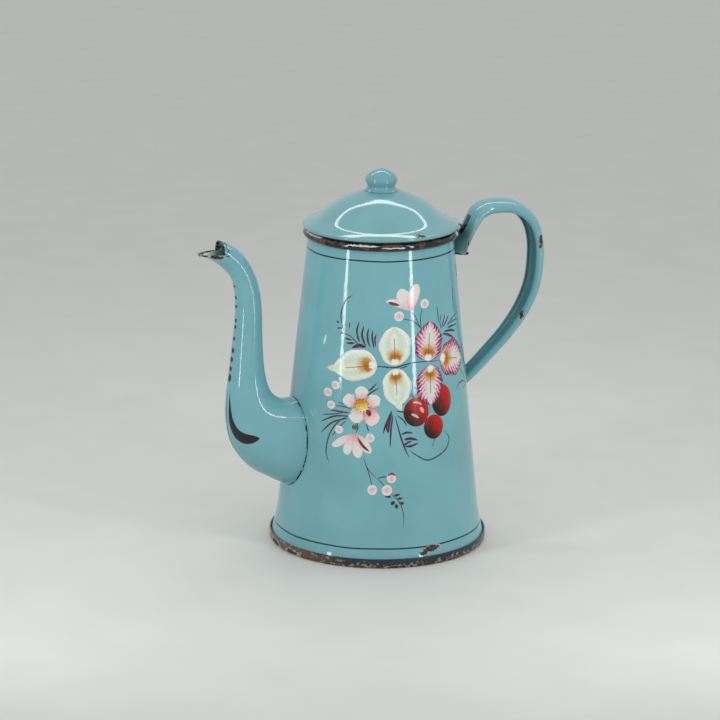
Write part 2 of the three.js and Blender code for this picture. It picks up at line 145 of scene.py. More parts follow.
def nearest_chip(tree, place, chips, fray=4):
    """How far a place is from the nearest chip, in shares of that chip's ragged outline. A chip is
    its centre, half its width and height, its lean, and its reach inwards if not the usual one."""
    torn = node(tree, "TexNoise", {"Vector": place, "Scale": 0.55, "Detail": 4}, "Color")
    torn = node(tree, "VectorMath", {0: torn, 1: (0.5, 0.5, 0.5)}, operation="SUBTRACT")
    ragged = {0: torn, 1: (fray, fray, fray), 2: place}
    ragged = node(tree, "VectorMath", ragged, operation="MULTIPLY_ADD")
    nearest = None
    for centre, wide, high, lean, *deep in chips:
        across = math.atan2(centre[1], centre[0])
        box = {
            "Vector": ragged,
            "Location": centre,
            "Rotation": (math.radians(lean), 0, across),
            "Scale": (deep[0] if deep else CHIP_REACH, wide, high),
        }
        local = node(tree, "Mapping", box, vector_type="TEXTURE")
        far = node(tree, "VectorMath", {0: local}, "Value", operation="LENGTH")
        if nearest is not None:
            far = node(tree, "Math", {0: nearest, 1: far}, operation="MINIMUM")
        nearest = far
    return nearest


def rust(tree, place):
    """Bare steel that has rusted: black scale, brown and a little tan in patches of 2 mm."""
    patches = node(tree, "TexNoise", {"Vector": place, "Scale": 0.5, "Detail": 6}, "Fac")
    shades = [(0.38, "#100d0b"), (0.49, "#291d17"), (0.6, "#4c3527"), (0.72, "#7a614b")]
    return node(tree, "ValToRGB", {"Fac": patches}, ramp=shades)


def enamel(name, code, laid=(), chips=(), gloss=0.07, ripple_depth=0.035):
    """Vitreous enamel, a glass coat fused on sheet steel: wet gloss, a faint mottle, pinholes and
    the shallow ripple of a dipped coat. What is laid over it is pairs of a mask and a colour."""
    material, tree, shader, place = surface(name, 0, gloss)
    cloud = node(tree, "TexNoise", {"Vector": place, "Scale": 0.022, "Detail": 3}, "Fac")
    mottle = node(tree, "TexNoise", {"Vector": place, "Scale": 0.35, "Detail": 4}, "Fac")
    base = linear(code)
    dull = [0.9 * c for c in base[:3]] + [1]
    bright = [1.1 * c for c in base[:3]] + [1]
    clouds = node(tree, "MapRange", {0: cloud, 1: 0.35, 2: 0.65, 3: 0.15, 4: 0.85})
    mottled = node(tree, "MapRange", {0: mottle, 1: 0.4, 2: 0.75, 3: 0, 4: 0.12})
    hole = {"Vector": place, "Scale": 0.16}
    hole_far = node(tree, "TexVoronoi", hole, "Distance")
    hole_luck = node(tree, "TexVoronoi", hole, "Color")
    hole_size = node(tree, "MapRange", {0: hole_luck, 1: 0.55, 2: 1, 3: 0, 4: 0.045})
    holes = node(tree, "Math", {0: hole_far, 1: hole_size}, operation="LESS_THAN")
    holes = node(tree, "Math", {0: holes, 1: 0.75}, operation="MULTIPLY")
    coats = [(clouds, bright), (mottled, dull), (holes, linear("#20282c"))]
    for mask, over in laid:
        over = linear(over) if isinstance(over, str) else over(tree, place)
        coats.append((mask(tree, place), over))
    ripple = node(tree, "TexNoise", {"Vector": place, "Scale": 0.28, "Detail": 2}, "Fac")
    height = node(tree, "Math", {0: ripple, 1: ripple_depth * MM}, operation="MULTIPLY")
    if chips:
        far = nearest_chip(tree, place, chips)
        edge = node(tree, "MapRange", {0: far, 1: 1.0, 2: 0.9, 3: 0, 4: 1})
        bare = node(tree, "MapRange", {0: far, 1: 0.86, 2: 0.7, 3: 0, 4: 1})
        coats += [(edge, linear("#aab0ab")), (bare, rust(tree, place))]
        rough = node(tree, "MapRange", {0: edge, 1: 0, 2: 1, 3: gloss, 4: 0.6})
        tree.links.new(rough, shader.inputs["Roughness"])
        drop = {0: edge, 1: -CHIP_DROP * MM, 2: height}
        height = node(tree, "Math", drop, operation="MULTIPLY_ADD")
    colour = dull
    for share, over in coats:
        colour = node(tree, "Mix", {0: share, UNDER: colour, OVER: over}, MIXED, data_type="RGBA")
    normal = node(tree, "Bump", {"Height": height, "Distance": 1.0, "Strength": 1.0})
    tree.links.new(colour, shader.inputs["Base Color"])
    tree.links.new(normal, shader.inputs["Normal"])
    return material


def flaked_edge(tree, place):
    """The pan's lower edge, where the enamel has flaked off in a broken line, most of it on the
    side under the spout."""
    up = node(tree, "SeparateXYZ", {0: place}, "Z")
    side = node(tree, "SeparateXYZ", {0: place}, "X")
    side = {0: side, 1: FLAKED_SIDE[0], 2: FLAKED_SIDE[1], 3: 0.3, 4: 0}
    side = node(tree, "MapRange", side)
    low = node(tree, "MapRange", {0: up, 1: FLAKES_HIGH, 2: FLAKES_LOW, 3: -0.16, 4: 0.34})
    low = node(tree, "Math", {0: low, 1: side}, operation="ADD")
    ragged = node(tree, "TexNoise", {"Vector": place, "Scale": 0.16, "Detail": 7}, "Fac")
    share = node(tree, "Math", {0: ragged, 1: low}, operation="ADD")
    return node(tree, "MapRange", {0: share, 1: 0.56, 2: 0.6, 3: 0, 4: 1})


def flaked_colour(tree, place):
    """Scale and rust, browner under the spout, with crumbs of the pale ground coat left in it."""
    side = node(tree, "SeparateXYZ", {0: place}, "X")
    share = {0: side, 1: BROWN_SIDE[0], 2: BROWN_SIDE[1], 3: 0.75, 4: 0}
    share = node(tree, "MapRange", share)
    brown = {0: share, UNDER: rust(tree, place), OVER: linear("#6a4a35")}
    brown = node(tree, "Mix", brown, MIXED, data_type="RGBA")
    crumbs = node(tree, "TexNoise", {"Vector": place, "Scale": 0.3, "Detail": 6}, "Fac")
    share = node(tree, "MapRange", {0: crumbs, 1: 0.54, 2: 0.6, 3: 0, 4: 0.7})
    pale = {0: share, UNDER: brown, OVER: linear("#8d958f")}
    return node(tree, "Mix", pale, MIXED, data_type="RGBA")


pan_edge_middle = (PAN_RADIUS - SHEET / 2, PAN_RIM_HEIGHT - SHEET / 2)
pan_edge = arc(pan_edge_middle, SHEET / 2, 0, 180, CORNER_STEPS)
pan_corner = arc((PAN_RADIUS - PAN_CORNER, PAN_CORNER), PAN_CORNER, -90, 0, CORNER_STEPS)
pan_inside = [(PAN_RADIUS - SHEET, SHEET), (0, SHEET)]
base_pan = turned("base_pan_enamelled", [(0, 0)] + pan_corner + pan_edge + pan_inside)
PAN_CHIPS = [
    ((-71.9, -0.5, 2.0), 9, 2.6, 0),
    ((-68.0, -23.4, 1.8), 8, 2.2, 0),
    ((-50.0, -51.5, 0.6), 10, 1.2, 0),
    ((-12.0, -70.9, 0.8), 9, 1.4, 0),
    ((30.0, -65.3, 0.8), 8, 1.3, 0),
    ((56.0, -45.0, 1.2), 7, 1.6, 0),
    ((20.0, 69.0, 1.4), 9, 1.8, 0),
    ((-40.0, 59.7, 1.0), 8, 1.5, 0),
]
base_pan.data.materials.append(
    enamel("ink_blue_enamel", INK_BLUE, [(flaked_edge, flaked_colour)], PAN_CHIPS, gloss=0.2)
)
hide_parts("base_pan")
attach(base_pan, "pot")

# Body shell: a cone of sheet steel with a flared foot, its top edge curled outwards round a wire.
# It is dipped in sky-blue enamel over a dark ground, lined with two ink-blue pinstripes, and
# speckled grey-white inside. Holes are punched behind the spout as a strainer.
RIM_HEIGHT = 207.7
RIM_WALL_RADIUS = 47.3
CONE_FOOT_RADIUS = 66.5
CONE_FOOT_HEIGHT = 24.0
CONE_STOP = 8
CONE_ROWS = 30
FLANGE_SHARE = 0.86
FOOT_SWEEP = (0.46, 0.22)
FOOT_ROWS = 16
BEAD_RADIUS = 2.6
BEAD_SET_OUT = 0.8
BEAD_LOW = RIM_HEIGHT - 2.7
BEAD_START, BEAD_END, BEAD_STEPS = -102, 232, 40
SEAT_GAP = 0.3
STRAINER_HOLE = 3.6
STRAINER_PITCH = 8.0
STRAINER_HEIGHT = 71.0
STRAINER_HALF_WIDTH, STRAINER_HALF_HEIGHT = 16.56, 21.86
STRAINER_ROWS, STRAINER_COLUMNS = range(-2, 3), range(-4, 5)
PUNCH_LENGTH, PUNCH_SIDES = 24, 20
SKY_BLUE = "#73abb2"
TAPER = (CONE_FOOT_RADIUS - RIM_WALL_RADIUS) / (RIM_HEIGHT - CONE_FOOT_HEIGHT)
PINSTRIPES = (198.6, 12.3)
STRIPE_HALF, STRIPE_WAVER = 0.48, 1.1
LINING_OFF = -0.55


def wall_radius(up):
    """The tapered wall's outside radius at a height."""
    return RIM_WALL_RADIUS + TAPER * (RIM_HEIGHT - up)


def body_profile():
    """Up the outside from the foot, over the rolled rim, and down the inside."""
    flange = PAN_RADIUS - SHEET - SEAT_GAP
    start = Vector((flange, FLANGE_SHARE * PAN_RIM_HEIGHT))
    end = Vector((CONE_FOOT_RADIUS, CONE_FOOT_HEIGHT))
    sweep_out = start.x + (end.x - start.x) * FOOT_SWEEP[0]
    sweep_up = start.y + (end.y - start.y) * FOOT_SWEEP[1]
    sweep = Vector((sweep_out, sweep_up))
    foot = [(flange, SHEET + SEAT_GAP)]
    for n in range(FOOT_ROWS + 1):
        share = n / FOOT_ROWS
        point = start.lerp(sweep, share).lerp(sweep.lerp(end, share), share)
        foot.append((point.x, point.y))
    rise = RIM_HEIGHT - CONE_STOP - CONE_FOOT_HEIGHT
    rows = [CONE_FOOT_HEIGHT + rise * n / CONE_ROWS for n in range(1, CONE_ROWS + 1)]
    cone = [(wall_radius(up), up) for up in rows]
    bead_middle = (RIM_WALL_RADIUS + BEAD_SET_OUT, RIM_HEIGHT)
    bead = arc(bead_middle, BEAD_RADIUS, BEAD_START, BEAD_END, BEAD_STEPS)
    inside = [(r - SHEET, up) for r, up in reversed(foot + cone)]
    return foot + cone + bead + inside


def cut(made, cutter):
    """Takes a cutter's volume out of a piece, and removes the cutter."""
    knife = made.modifiers.new("cut", "BOOLEAN")
    knife.operation = "DIFFERENCE"
    knife.solver = "EXACT"
    knife.object = cutter
    graph = bpy.context.evaluated_depsgraph_get()
    data = bpy.data.meshes.new_from_object(made.evaluated_get(graph))
    made.modifiers.clear()
    made.data = data
    data.set_sharp_from_angle(angle=math.radians(SHARP_EDGE))
    bpy.data.objects.remove(cutter)


def strainer_punches():
    """Round punches along X, in rows that fit the oval behind the spout's root."""
    mesh = bmesh.new()
    for row in STRAINER_ROWS:
        up = row * STRAINER_PITCH * math.sqrt(3) / 2
        reach = STRAINER_HALF_WIDTH * math.sqrt(1 - (up / STRAINER_HALF_HEIGHT) ** 2)
        shift = (row % 2) * STRAINER_PITCH / 2
        for column in STRAINER_COLUMNS:
            aside = column * STRAINER_PITCH + shift
            if abs(aside) > reach:
                continue
            place = Vector((-wall_radius(STRAINER_HEIGHT + up), aside, STRAINER_HEIGHT + up)) * MM
            bmesh.ops.create_cone(
                mesh,
                cap_ends=True,
                segments=PUNCH_SIDES,
                radius1=STRAINER_HOLE / 2 * MM,
                radius2=STRAINER_HOLE / 2 * MM,
                depth=PUNCH_LENGTH * MM,
                matrix=Matrix.Translation(place) @ Matrix.Rotation(math.pi / 2, 4, "Y"),
            )
    return finished("punches", mesh)


def out_from_wall(tree, place):
    """How far a place stands off the tapered wall's outside, in millimetres."""
    across = node(tree, "VectorMath", {0: place, 1: (1, 1, 0)}, operation="MULTIPLY")
    radius = node(tree, "VectorMath", {0: across}, "Value", operation="LENGTH")
    up = node(tree, "SeparateXYZ", {0: place}, "Z")
    lean = {0: up, 1: TAPER, 2: -wall_radius(0)}
    wall = node(tree, "Math", lean, operation="MULTIPLY_ADD")
    return node(tree, "Math", {0: radius, 1: wall}, operation="ADD")


def swayed(tree, place, axis, sway, scale, detail):
    """One coordinate of a place with a noise added to it, for a mask with a ragged edge."""
    ragged = node(tree, "TexNoise", {"Vector": place, "Scale": scale, "Detail": detail}, "Fac")
    plain = node(tree, "SeparateXYZ", {0: place}, axis)
    return node(tree, "Math", {0: ragged, 1: sway, 2: plain}, operation="MULTIPLY_ADD")


def pinstripes(tree, place):
    """Two hand-drawn lines round the pot, about 1 mm wide and a little unsteady."""
    up = swayed(tree, place, "Z", STRIPE_WAVER, 0.03, 1)
    lines = None
    for line in PINSTRIPES:
        near = {0: up, 1: line + STRIPE_WAVER / 2, 2: STRIPE_HALF}
        near = node(tree, "Math", near, operation="COMPARE")
        if lines is not None:
            near = node(tree, "Math", {0: lines, 1: near}, operation="MAXIMUM")
        lines = near
    return lines


def rolled_rim(tree, place):
    """The rolled rim, left in the dark ground coat."""
    up = swayed(tree, place, "Z", 0.8, 0.2, 3)
    return node(tree, "MapRange", {0: up, 1: BEAD_LOW + 0.3, 2: BEAD_LOW + 0.5, 3: 0, 4: 1})


def worn_rim(tree, place):
    """The crest of the rolled rim, rubbed through by the lid."""
    up = node(tree, "SeparateXYZ", {0: place}, "Z")
    high = {0: up, 1: BEAD_LOW, 2: RIM_HEIGHT + 1.5, 3: -0.16, 4: 0.06}
    high = node(tree, "MapRange", high)
    ragged = node(tree, "TexNoise", {"Vector": place, "Scale": 0.14, "Detail": 7}, "Fac")
    share = node(tree, "Math", {0: ragged, 1: high}, operation="ADD")
    share = node(tree, "MapRange", {0: share, 1: 0.5, 2: 0.54, 3: 0, 4: 1})
    return node(tree, "Math", {0: share, 1: rolled_rim(tree, place)}, operation="MULTIPLY")


def inner_side(tree, place):
    """Everything inside the wall."""
    off = out_from_wall(tree, place)
    return node(tree, "Math", {0: off, 1: LINING_OFF}, operation="LESS_THAN")


def inner_colour(tree, place):
    """Grey-white lining enamel with a fine dark speckle of 1 mm."""
    grain = node(tree, "TexNoise", {"Vector": place, "Scale": 0.8, "Detail": 2}, "Fac")
    speckle = [(0.34, "#5b6266"), (0.42, "#b9bdb8"), (0.7, "#c9ccc6")]
    return node(tree, "ValToRGB", {"Fac": grain}, ramp=speckle)


# White on the rim's crest, partly worn cover coat and partly painted highlight.
RIM_WEAR_AND_HIGHLIGHT = [
    ((-49.0, -5.6, 210.1), 13.5, 0.65, 0),
    ((-27.5, -42.5, 208.9), 11.5, 0.55, 0),
    ((-8.7, -49.4, 207.8), 8, 0.5, 0),
    ((44.0, -25.5, 209.0), 3, 2.0, 0),
    ((-8.0, 50.0, 209.0), 12, 1.0, 0),
]


def rim_wear_and_highlight(tree, place):
    """White stretches of the rim's crest: worn cover coat, and painted highlight along the roll."""
    far = nearest_chip(tree, place, RIM_WEAR_AND_HIGHLIGHT, fray=2)
    return node(tree, "MapRange", {0: far, 1: 1.0, 2: 0.9, 3: 0, 4: 1})


BODY_CHIPS = [
    ((12.8, -67.7, 10.3), 8.5, 2.6, 8),
    ((7.0, -69.5, 8.0), 4, 1.3, 0),
    ((64.0, 24.0, 9.0), 5, 1.6, 0),
    ((-20.0, 66.5, 11.0), 4, 2.2, 20),
    ((44.9, -22.4, 185.5), 1.9, 8.5, 0, 1.5),
]
body = turned("body_enamelled", body_profile())
cut(body, strainer_punches())
body_layers = [
    (pinstripes, "#0b2c38"),
    (inner_side, inner_colour),
    (rolled_rim, "#14181c"),
    (worn_rim, "#513a2f"),
    (rim_wear_and_highlight, "#c6cac4"),
]
body.data.materials.append(enamel("sky_blue_enamel", SKY_BLUE, body_layers, BODY_CHIPS))
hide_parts("body_shell")
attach(body, "pot")

# Rim wire: the round steel wire that the body's edge is curled over. It is hidden in the roll, and
# keeps the dull grey of drawn wire with a little rust.
WIRE_GREY = "#6d6a66"


def steel(name, code, rough):
    """Bare mild steel gone dull: drawn or sheared grey, with brown rust in specks of 1 mm."""
    material, tree, shader, place = surface(name, 1, rough)
    streak = node(tree, "TexNoise", {"Vector": place, "Scale": 0.8, "Detail": 5}, "Fac")
    share = node(tree, "MapRange", {0: streak, 1: 0.48, 2: 0.62, 3: 0, 4: 0.85})
    rusted = rust(tree, place)
    colour = {0: share, UNDER: linear(code), OVER: rusted}
    colour = node(tree, "Mix", colour, MIXED, data_type="RGBA")
    tree.links.new(colour, shader.inputs["Base Color"])
    metal = node(tree, "MapRange", {0: share, 1: 0, 2: 1, 3: 1, 4: 0})
    tree.links.new(metal, shader.inputs["Metallic"])
    height = node(tree, "Math", {0: streak, 1: 0.04 * MM}, operation="MULTIPLY")
    normal = node(tree, "Bump", {"Height": height, "Distance": 1.0, "Strength": 1.0})
    tree.links.new(normal, shader.inputs["Normal"])
    return material


def give_finish(name, material):
    """Puts a material on a CAD node that is seen as it is."""
    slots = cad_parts[name].data.materials
    slots.clear()
    slots.append(material)


give_finish("rim_wire", steel("drawn_wire", WIRE_GREY, 0.4))

# Spout: a swan neck of sheet steel, raised in two halves and brazed, with the mouth cut to a beak.
# It is brazed over the strainer holes and enamelled with the body, and the seam round its root and
# the edge of its mouth show the dark ground coat.
SPOUT_FOOT = 42.0
SPOUT_RISE = 166.6
SPOUT_STANDOFF = 75.5
SPOUT_ROOT_WIDTH = 46.0
SPOUT_STEPS = 110
SPOUT_SIDES = 56
SPOUT_BLUE = "#72a8b2"
LINING_GREEN = "#5a9c99"
GROUND_BLACK = "#14171a"
# The neck's front and back lines as shares out and up, and its width as shares, root to mouth.
SPOUT_FRONT = [
    (-0.082, -0.024), (0.03, 0.003), (0.208, 0.044), (0.339, 0.078), (0.445, 0.124),
    (0.543, 0.188), (0.602, 0.27), (0.621, 0.36), (0.621, 0.462), (0.617, 0.57), (0.618, 0.678),
    (0.637, 0.768), (0.682, 0.84), (0.756, 0.882), (0.847, 0.915), (0.925, 0.935), (1.01, 0.946),
    (1.085, 0.952),
]
SPOUT_BACK = [
    (-0.074, 0.354), (0.02, 0.349), (0.103, 0.348), (0.173, 0.362), (0.227, 0.384),
    (0.265, 0.413), (0.299, 0.456), (0.328, 0.513), (0.352, 0.582), (0.373, 0.654), (0.394, 0.726),
    (0.427, 0.792), (0.478, 0.852), (0.545, 0.905), (0.627, 0.948), (0.719, 0.979), (0.837, 1.002),
    (0.965, 1.011),
]
SPOUT_WIDTH = [
    1, 1, 0.93, 0.84, 0.76, 0.69, 0.62, 0.55, 0.49, 0.44, 0.4, 0.38, 0.37, 0.365, 0.365, 0.37,
    0.375, 0.38,
]
NOTCH_OUT, NOTCH_UP, TIP_UP = 0.823, 0.954, 0.947
MOUTH_START, MOUTH_BEVEL, CUT_MERGED = -100, 0.3, 0.01
BEAK_SEAM, BEAK_SEAM_LOW = -106.8, 199.5
# How far back from the beak the white on the lining runs, worn coat and painted highlight.
TIP_WEAR_AND_HIGHLIGHT = (-105.5, -109)
CORE_LOW, CORE_HIGH = -20, 240


def through(points, along):
    """A place on the smooth curve through a row of points, by a share from 0 to 1 of its length."""
    last = len(points) - 1
    step = min(int(along * last), last - 1)
    share = along * last - step
    b, c = points[step], points[step + 1]
    a = points[step - 1] if step > 0 else 2 * b - c
    d = points[step + 2] if step + 2 <= last else 2 * c - b
    bend = (2 * a - 5 * b + 4 * c - d) * share**2 + (3 * b - a - 3 * c + d) * share**3
    return (2 * b + (c - a) * share + bend) / 2


def bent_grid(mesh, long, round_, place):
    """A grid of faces, each corner moved to the place for its shares along and round."""
    made = bmesh.ops.create_grid(mesh, x_segments=long, y_segments=round_, size=1)["verts"]
    for corner in made:
        corner.co = place((corner.co.x + 1) / 2, (corner.co.y + 1) / 2)


def spout_point(shares):
    """A place on the spout's front or back line, from its shares out and up."""
    up = SPOUT_FOOT + SPOUT_RISE * shares[1]
    return Vector((-wall_radius(up) - SPOUT_STANDOFF * shares[0], 0, up)) * MM


def on_spout(along, turn):
    """A place on the spout's outside, by its share along and its turn from the front line."""
    low = through([spout_point(shares) for shares in SPOUT_FRONT], along)
    high = through([spout_point(shares) for shares in SPOUT_BACK], along)
    wide = SPOUT_ROOT_WIDTH / 2 * MM * through(SPOUT_WIDTH, along)
    middle = (low + high) / 2
    return middle + (low - middle) * math.cos(turn) + Vector((0, wide * math.sin(turn), 0))


def spout_shell():
    """The neck as an open tube, cut to the beak and then given the sheet's thickness."""

    def place(along, share):
        return on_spout(along, math.tau * share)

    mesh = bmesh.new()
    bent_grid(mesh, SPOUT_STEPS, SPOUT_SIDES, place)
    bmesh.ops.remove_doubles(mesh, verts=mesh.verts, dist=MERGED * MM)
    notch, tip = spout_point((NOTCH_OUT, NOTCH_UP)), spout_point((1, TIP_UP))
    lip = (tip - notch).cross(Vector((0, 1, 0))).normalized()
    lip = -lip if lip.z < 0 else lip
    for point, normal in ((notch, Vector((1, 0, 0))), (tip, Vector((1, 0, 0))), (notch, lip)):
        bmesh.ops.bisect_plane(
            mesh,
            geom=mesh.verts[:] + mesh.edges[:] + mesh.faces[:],
            dist=CUT_MERGED * MM,
            plane_co=point,
            plane_no=normal,
        )
    gone = []
    for face in mesh.faces:
        middle = face.calc_center_median()
        past_lip = middle.x < notch.x and (middle - notch).dot(lip) > 0
        if middle.x < tip.x or past_lip:
            gone.append(face)
    bmesh.ops.delete(mesh, geom=gone, context="FACES")
    bmesh.ops.remove_doubles(mesh, verts=mesh.verts, dist=CUT_MERGED * MM)
    bmesh.ops.recalc_face_normals(mesh, faces=mesh.faces)
    root = on_spout(0, 0) / 2 + on_spout(0, math.pi) / 2
    if sum(f.normal.dot(f.calc_center_median() - root) for f in mesh.faces) < 0:
        bmesh.ops.reverse_faces(mesh, faces=mesh.faces)
    inside = bmesh.ops.solidify(mesh, geom=mesh.faces[:], thickness=SHEET * MM)["geom"]
    for face in inside:
        if isinstance(face, bmesh.types.BMFace):
            face.material_index = 1
    mouth = []
    for edge in mesh.edges:
        near_mouth = edge.verts[0].co.x < MOUTH_START * MM
        if edge.is_manifold and edge.calc_face_angle() > 1 and near_mouth:
            mouth.append(edge)
    bmesh.ops.bevel(
        mesh,
        geom=mouth,
        offset=MOUTH_BEVEL * MM,
        offset_type="OFFSET",
        affect="EDGES",
        segments=3,
        profile=0.5,
        material=-1,
    )
    bmesh.ops.recalc_face_normals(mesh, faces=mesh.faces)
    return finished("spout_enamelled", mesh)


def wall_core(off):
    """A solid cone as large as the body, that pieces brazed to the wall are cut back to."""
    mesh = bmesh.new()
    bmesh.ops.create_cone(
        mesh,
        cap_ends=True,
        segments=ROUND_STEPS,
        radius1=(wall_radius(CORE_LOW) + off) * MM,
        radius2=(wall_radius(CORE_HIGH) + off) * MM,
        depth=(CORE_HIGH - CORE_LOW) * MM,
        matrix=Matrix.Translation((0, 0, (CORE_LOW + CORE_HIGH) / 2 * MM)),
    )
    return finished("wall_core", mesh)


def root_seam(tree, place):
    """The dark line where the coat thins over the brazed seam, broken here and there."""
    off = out_from_wall(tree, place)
    ragged = node(tree, "TexNoise", {"Vector": place, "Scale": 0.25, "Detail": 4}, "Fac")
    edge = node(tree, "MapRange", {0: ragged, 1: 0.35, 2: 0.65, 3: 0.2, 4: 1.3})
    return node(tree, "Math", {0: off, 1: edge}, operation="LESS_THAN")


def mouth_edge(tree, place):
    """The cut edge of the mouth, in the dark ground coat."""
    notch, tip = spout_point((NOTCH_OUT, NOTCH_UP)), spout_point((1, TIP_UP))
    ragged = node(tree, "TexNoise", {"Vector": place, "Scale": 0.4, "Detail": 3}, "Color")
    ragged = {0: ragged, 1: (1.2, 1.2, 1.2), 2: place}
    ragged = node(tree, "VectorMath", ragged, operation="MULTIPLY_ADD")
    out = node(tree, "SeparateXYZ", {0: ragged}, "X")
    up = node(tree, "SeparateXYZ", {0: ragged}, "Z")
    past_notch = node(tree, "Math", {0: out, 1: notch.x / MM + 2.3}, operation="LESS_THAN")
    slope = (tip.z - notch.z) / (tip.x - notch.x)
    rise = (notch.z - slope * notch.x) / MM + 0.3
    line = node(tree, "Math", {0: out, 1: slope, 2: rise}, operation="MULTIPLY_ADD")
    above = node(tree, "Math", {0: up, 1: line}, operation="GREATER_THAN")
    return node(tree, "Math", {0: past_notch, 1: above}, operation="MULTIPLY")


def beak_seam(tree, place):
    """A broken black line round the neck, a little behind the mouth."""
    back = swayed(tree, place, "X", 7, 0.45, 3)
    up = node(tree, "SeparateXYZ", {0: place}, "Z")
    near = node(tree, "Math", {0: back, 1: BEAK_SEAM + 3.5, 2: 0.5}, operation="COMPARE")
    high = node(tree, "Math", {0: up, 1: BEAK_SEAM_LOW}, operation="GREATER_THAN")
    return node(tree, "Math", {0: near, 1: high}, operation="MULTIPLY")


def worn_and_highlit_tip(tree, place):
    """The beak's tip inside in white: the cover coat rubbed through, and a painted highlight."""
    out = swayed(tree, place, "X", 9, 0.3, 4)
    return node(tree, "MapRange", {0: out, 1: TIP_WEAR_AND_HIGHLIGHT[0], 2: TIP_WEAR_AND_HIGHLIGHT[1], 3: 0, 4: 1})


SPOUT_CHIPS = [
    ((-114.2, -7.5, 199.4), 3, 2.3, 0, 7),
    ((-122.0, -1.0, 199.6), 3, 1.2, 0),
    ((-108.0, 7.5, 203.0), 3, 1.6, 0),
]
spout = spout_shell()
cut(spout, wall_core(-SEAT_GAP))
spout_layers = [(root_seam, "#10181e"), (beak_seam, GROUND_BLACK), (mouth_edge, GROUND_BLACK)]
lining_layers = [(worn_and_highlit_tip, "#c9cfc8"), (mouth_edge, GROUND_BLACK)]
for name, colour, layers in (
    ("spout_sky_blue_enamel", SPOUT_BLUE, spout_layers),
    ("spout_lining_enamel", LINING_GREEN, lining_layers),
):
    spout.data.materials.append(enamel(name, colour, layers, SPOUT_CHIPS))
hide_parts("spout")
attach(spout, "pot")

# Handle: a strap of sheet steel dished to an open channel with rolled edges, bent over in a loop
# and brazed to the wall below the rim and at half height. A slot in its upper root lets the lid's
# tongue through. It is enamelled with the body.
HANDLE_TOP = RIM_HEIGHT + 16.6
HANDLE_SPAN = 124.0
HANDLE_STANDOFF = 66.0
ROOT_STANDOFF = 12.3
HANDLE_WIDTH = 21.0
HANDLE_SWELL = 4.3
HANDLE_STEPS = 110
CHANNEL_HALF = 125
HINGE_PIN = Vector((59.884, 0, 204.155))
SLOT_START, SLOT_WIDTH, SLOT_DROP, SLOT_RISE = 3.4, 6.1, 4.2, 10.5
HALF_ARCH_STEPS, HEADING_STEP = 14, 0.3
ROOT_END, ROOT_REACH = 189.4, 75
# Painted shade on the upper root: where it starts and where it is fullest, out in x and up in z.
ROOT_SHADE_OUT, ROOT_SHADE_UP = (62.5, 57), (186, 194)
HANDLE_BLUE = "#74a8ae"
# Down the strap's back: shares out, down, of the width and of the swell.
HANDLE_ROOT = [
    (-0.09, 0.273, 0.84, 1.63), (-0.052, 0.252, 0.85, 1.6), (0.065, 0.227, 0.88, 1.45),
    (0.315, 0.198, 0.92, 1.22), (0.624, 0.167, 0.96, 0.98), (0.929, 0.131, 0.98, 0.82),
    (1.188, 0.086, 1, 0.95),
]
HANDLE_GRIP = [
    (0.279, 0.04, 1, 1.12), (0.394, 0.005, 1, 1.2), (0.539, -0.004, 1, 1.22),
    (0.704, 0.007, 1, 1.2), (0.848, 0.053, 1, 1.15), (0.945, 0.128, 1, 1.08),
    (0.982, 0.233, 1, 1.05), (0.966, 0.353, 1, 1.05), (0.904, 0.488, 0.98, 1.02),
    (0.77, 0.62, 0.94, 0.96), (0.577, 0.743, 0.89, 0.88), (0.368, 0.846, 0.87, 0.82),
    (0.18, 0.934, 0.86, 0.79), (-0.025, 1.022, 0.85, 0.78),
]


def handle_stations():
    """Down the strap: its back, the direction to its open side, its half width and its swell."""
    rows = [(*row, ROOT_STANDOFF) for row in HANDLE_ROOT]
    rows += [(*row, HANDLE_STANDOFF) for row in HANDLE_GRIP]
    backs = []
    for out, down, _, _, standoff in rows:
        up = HANDLE_TOP - HANDLE_SPAN * down
        backs.append(Vector((wall_radius(up) + standoff * out, 0, up)) * MM)
    stations = []
    for n in range(HANDLE_STEPS + 1):
        along = n / HANDLE_STEPS
        nudge = HEADING_STEP / HANDLE_STEPS
        before = through(backs, max(along - nudge, 0))
        after = through(backs, min(along + nudge, 1))
        heading = (after - before).normalized()
        inward = Vector((heading.z, 0, -heading.x))
        wide = HANDLE_WIDTH / 2 * through([row[2] for row in rows], along)
        swell = HANDLE_SWELL * through([row[3] for row in rows], along)
        stations.append((through(backs, along), inward, wide, swell))
    return stations


def strap_section(wide, swell):
    """The dished section as a closed outline of (aside, inward), with its edges rounded."""
    half = math.radians(CHANNEL_HALF)
    outline = []
    for hand in (1, -1):
        deep, far = (swell, wide) if hand > 0 else (swell - SHEET, wide - SHEET)
        steps = range(2 * HALF_ARCH_STEPS + 1)
        turns = [hand * half * (n / HALF_ARCH_STEPS - 1) for n in steps]
        arch = [Vector((far * math.sin(t), swell - deep * math.cos(t), 0)) for t in turns]
        outline += arch
        edge = math.copysign(half, arch[-1].x)
        other = Vector((0, 0, 0))
        other.x = (2 * wide - SHEET - far) * math.sin(edge)
        other.y = swell - (2 * swell - SHEET - deep) * math.cos(edge)
        middle = (arch[-1] + other) / 2
        out = Vector((-math.copysign(math.cos(half), edge) * wide, swell * math.sin(half), 0))
        out = out.normalized() * SHEET / 2
        for n in (1, 2, 3):
            turn = math.pi * n / 4
            outline.append(middle + (arch[-1] - middle) * math.cos(turn) + out * math.sin(turn))
    return outline + outline[:1]


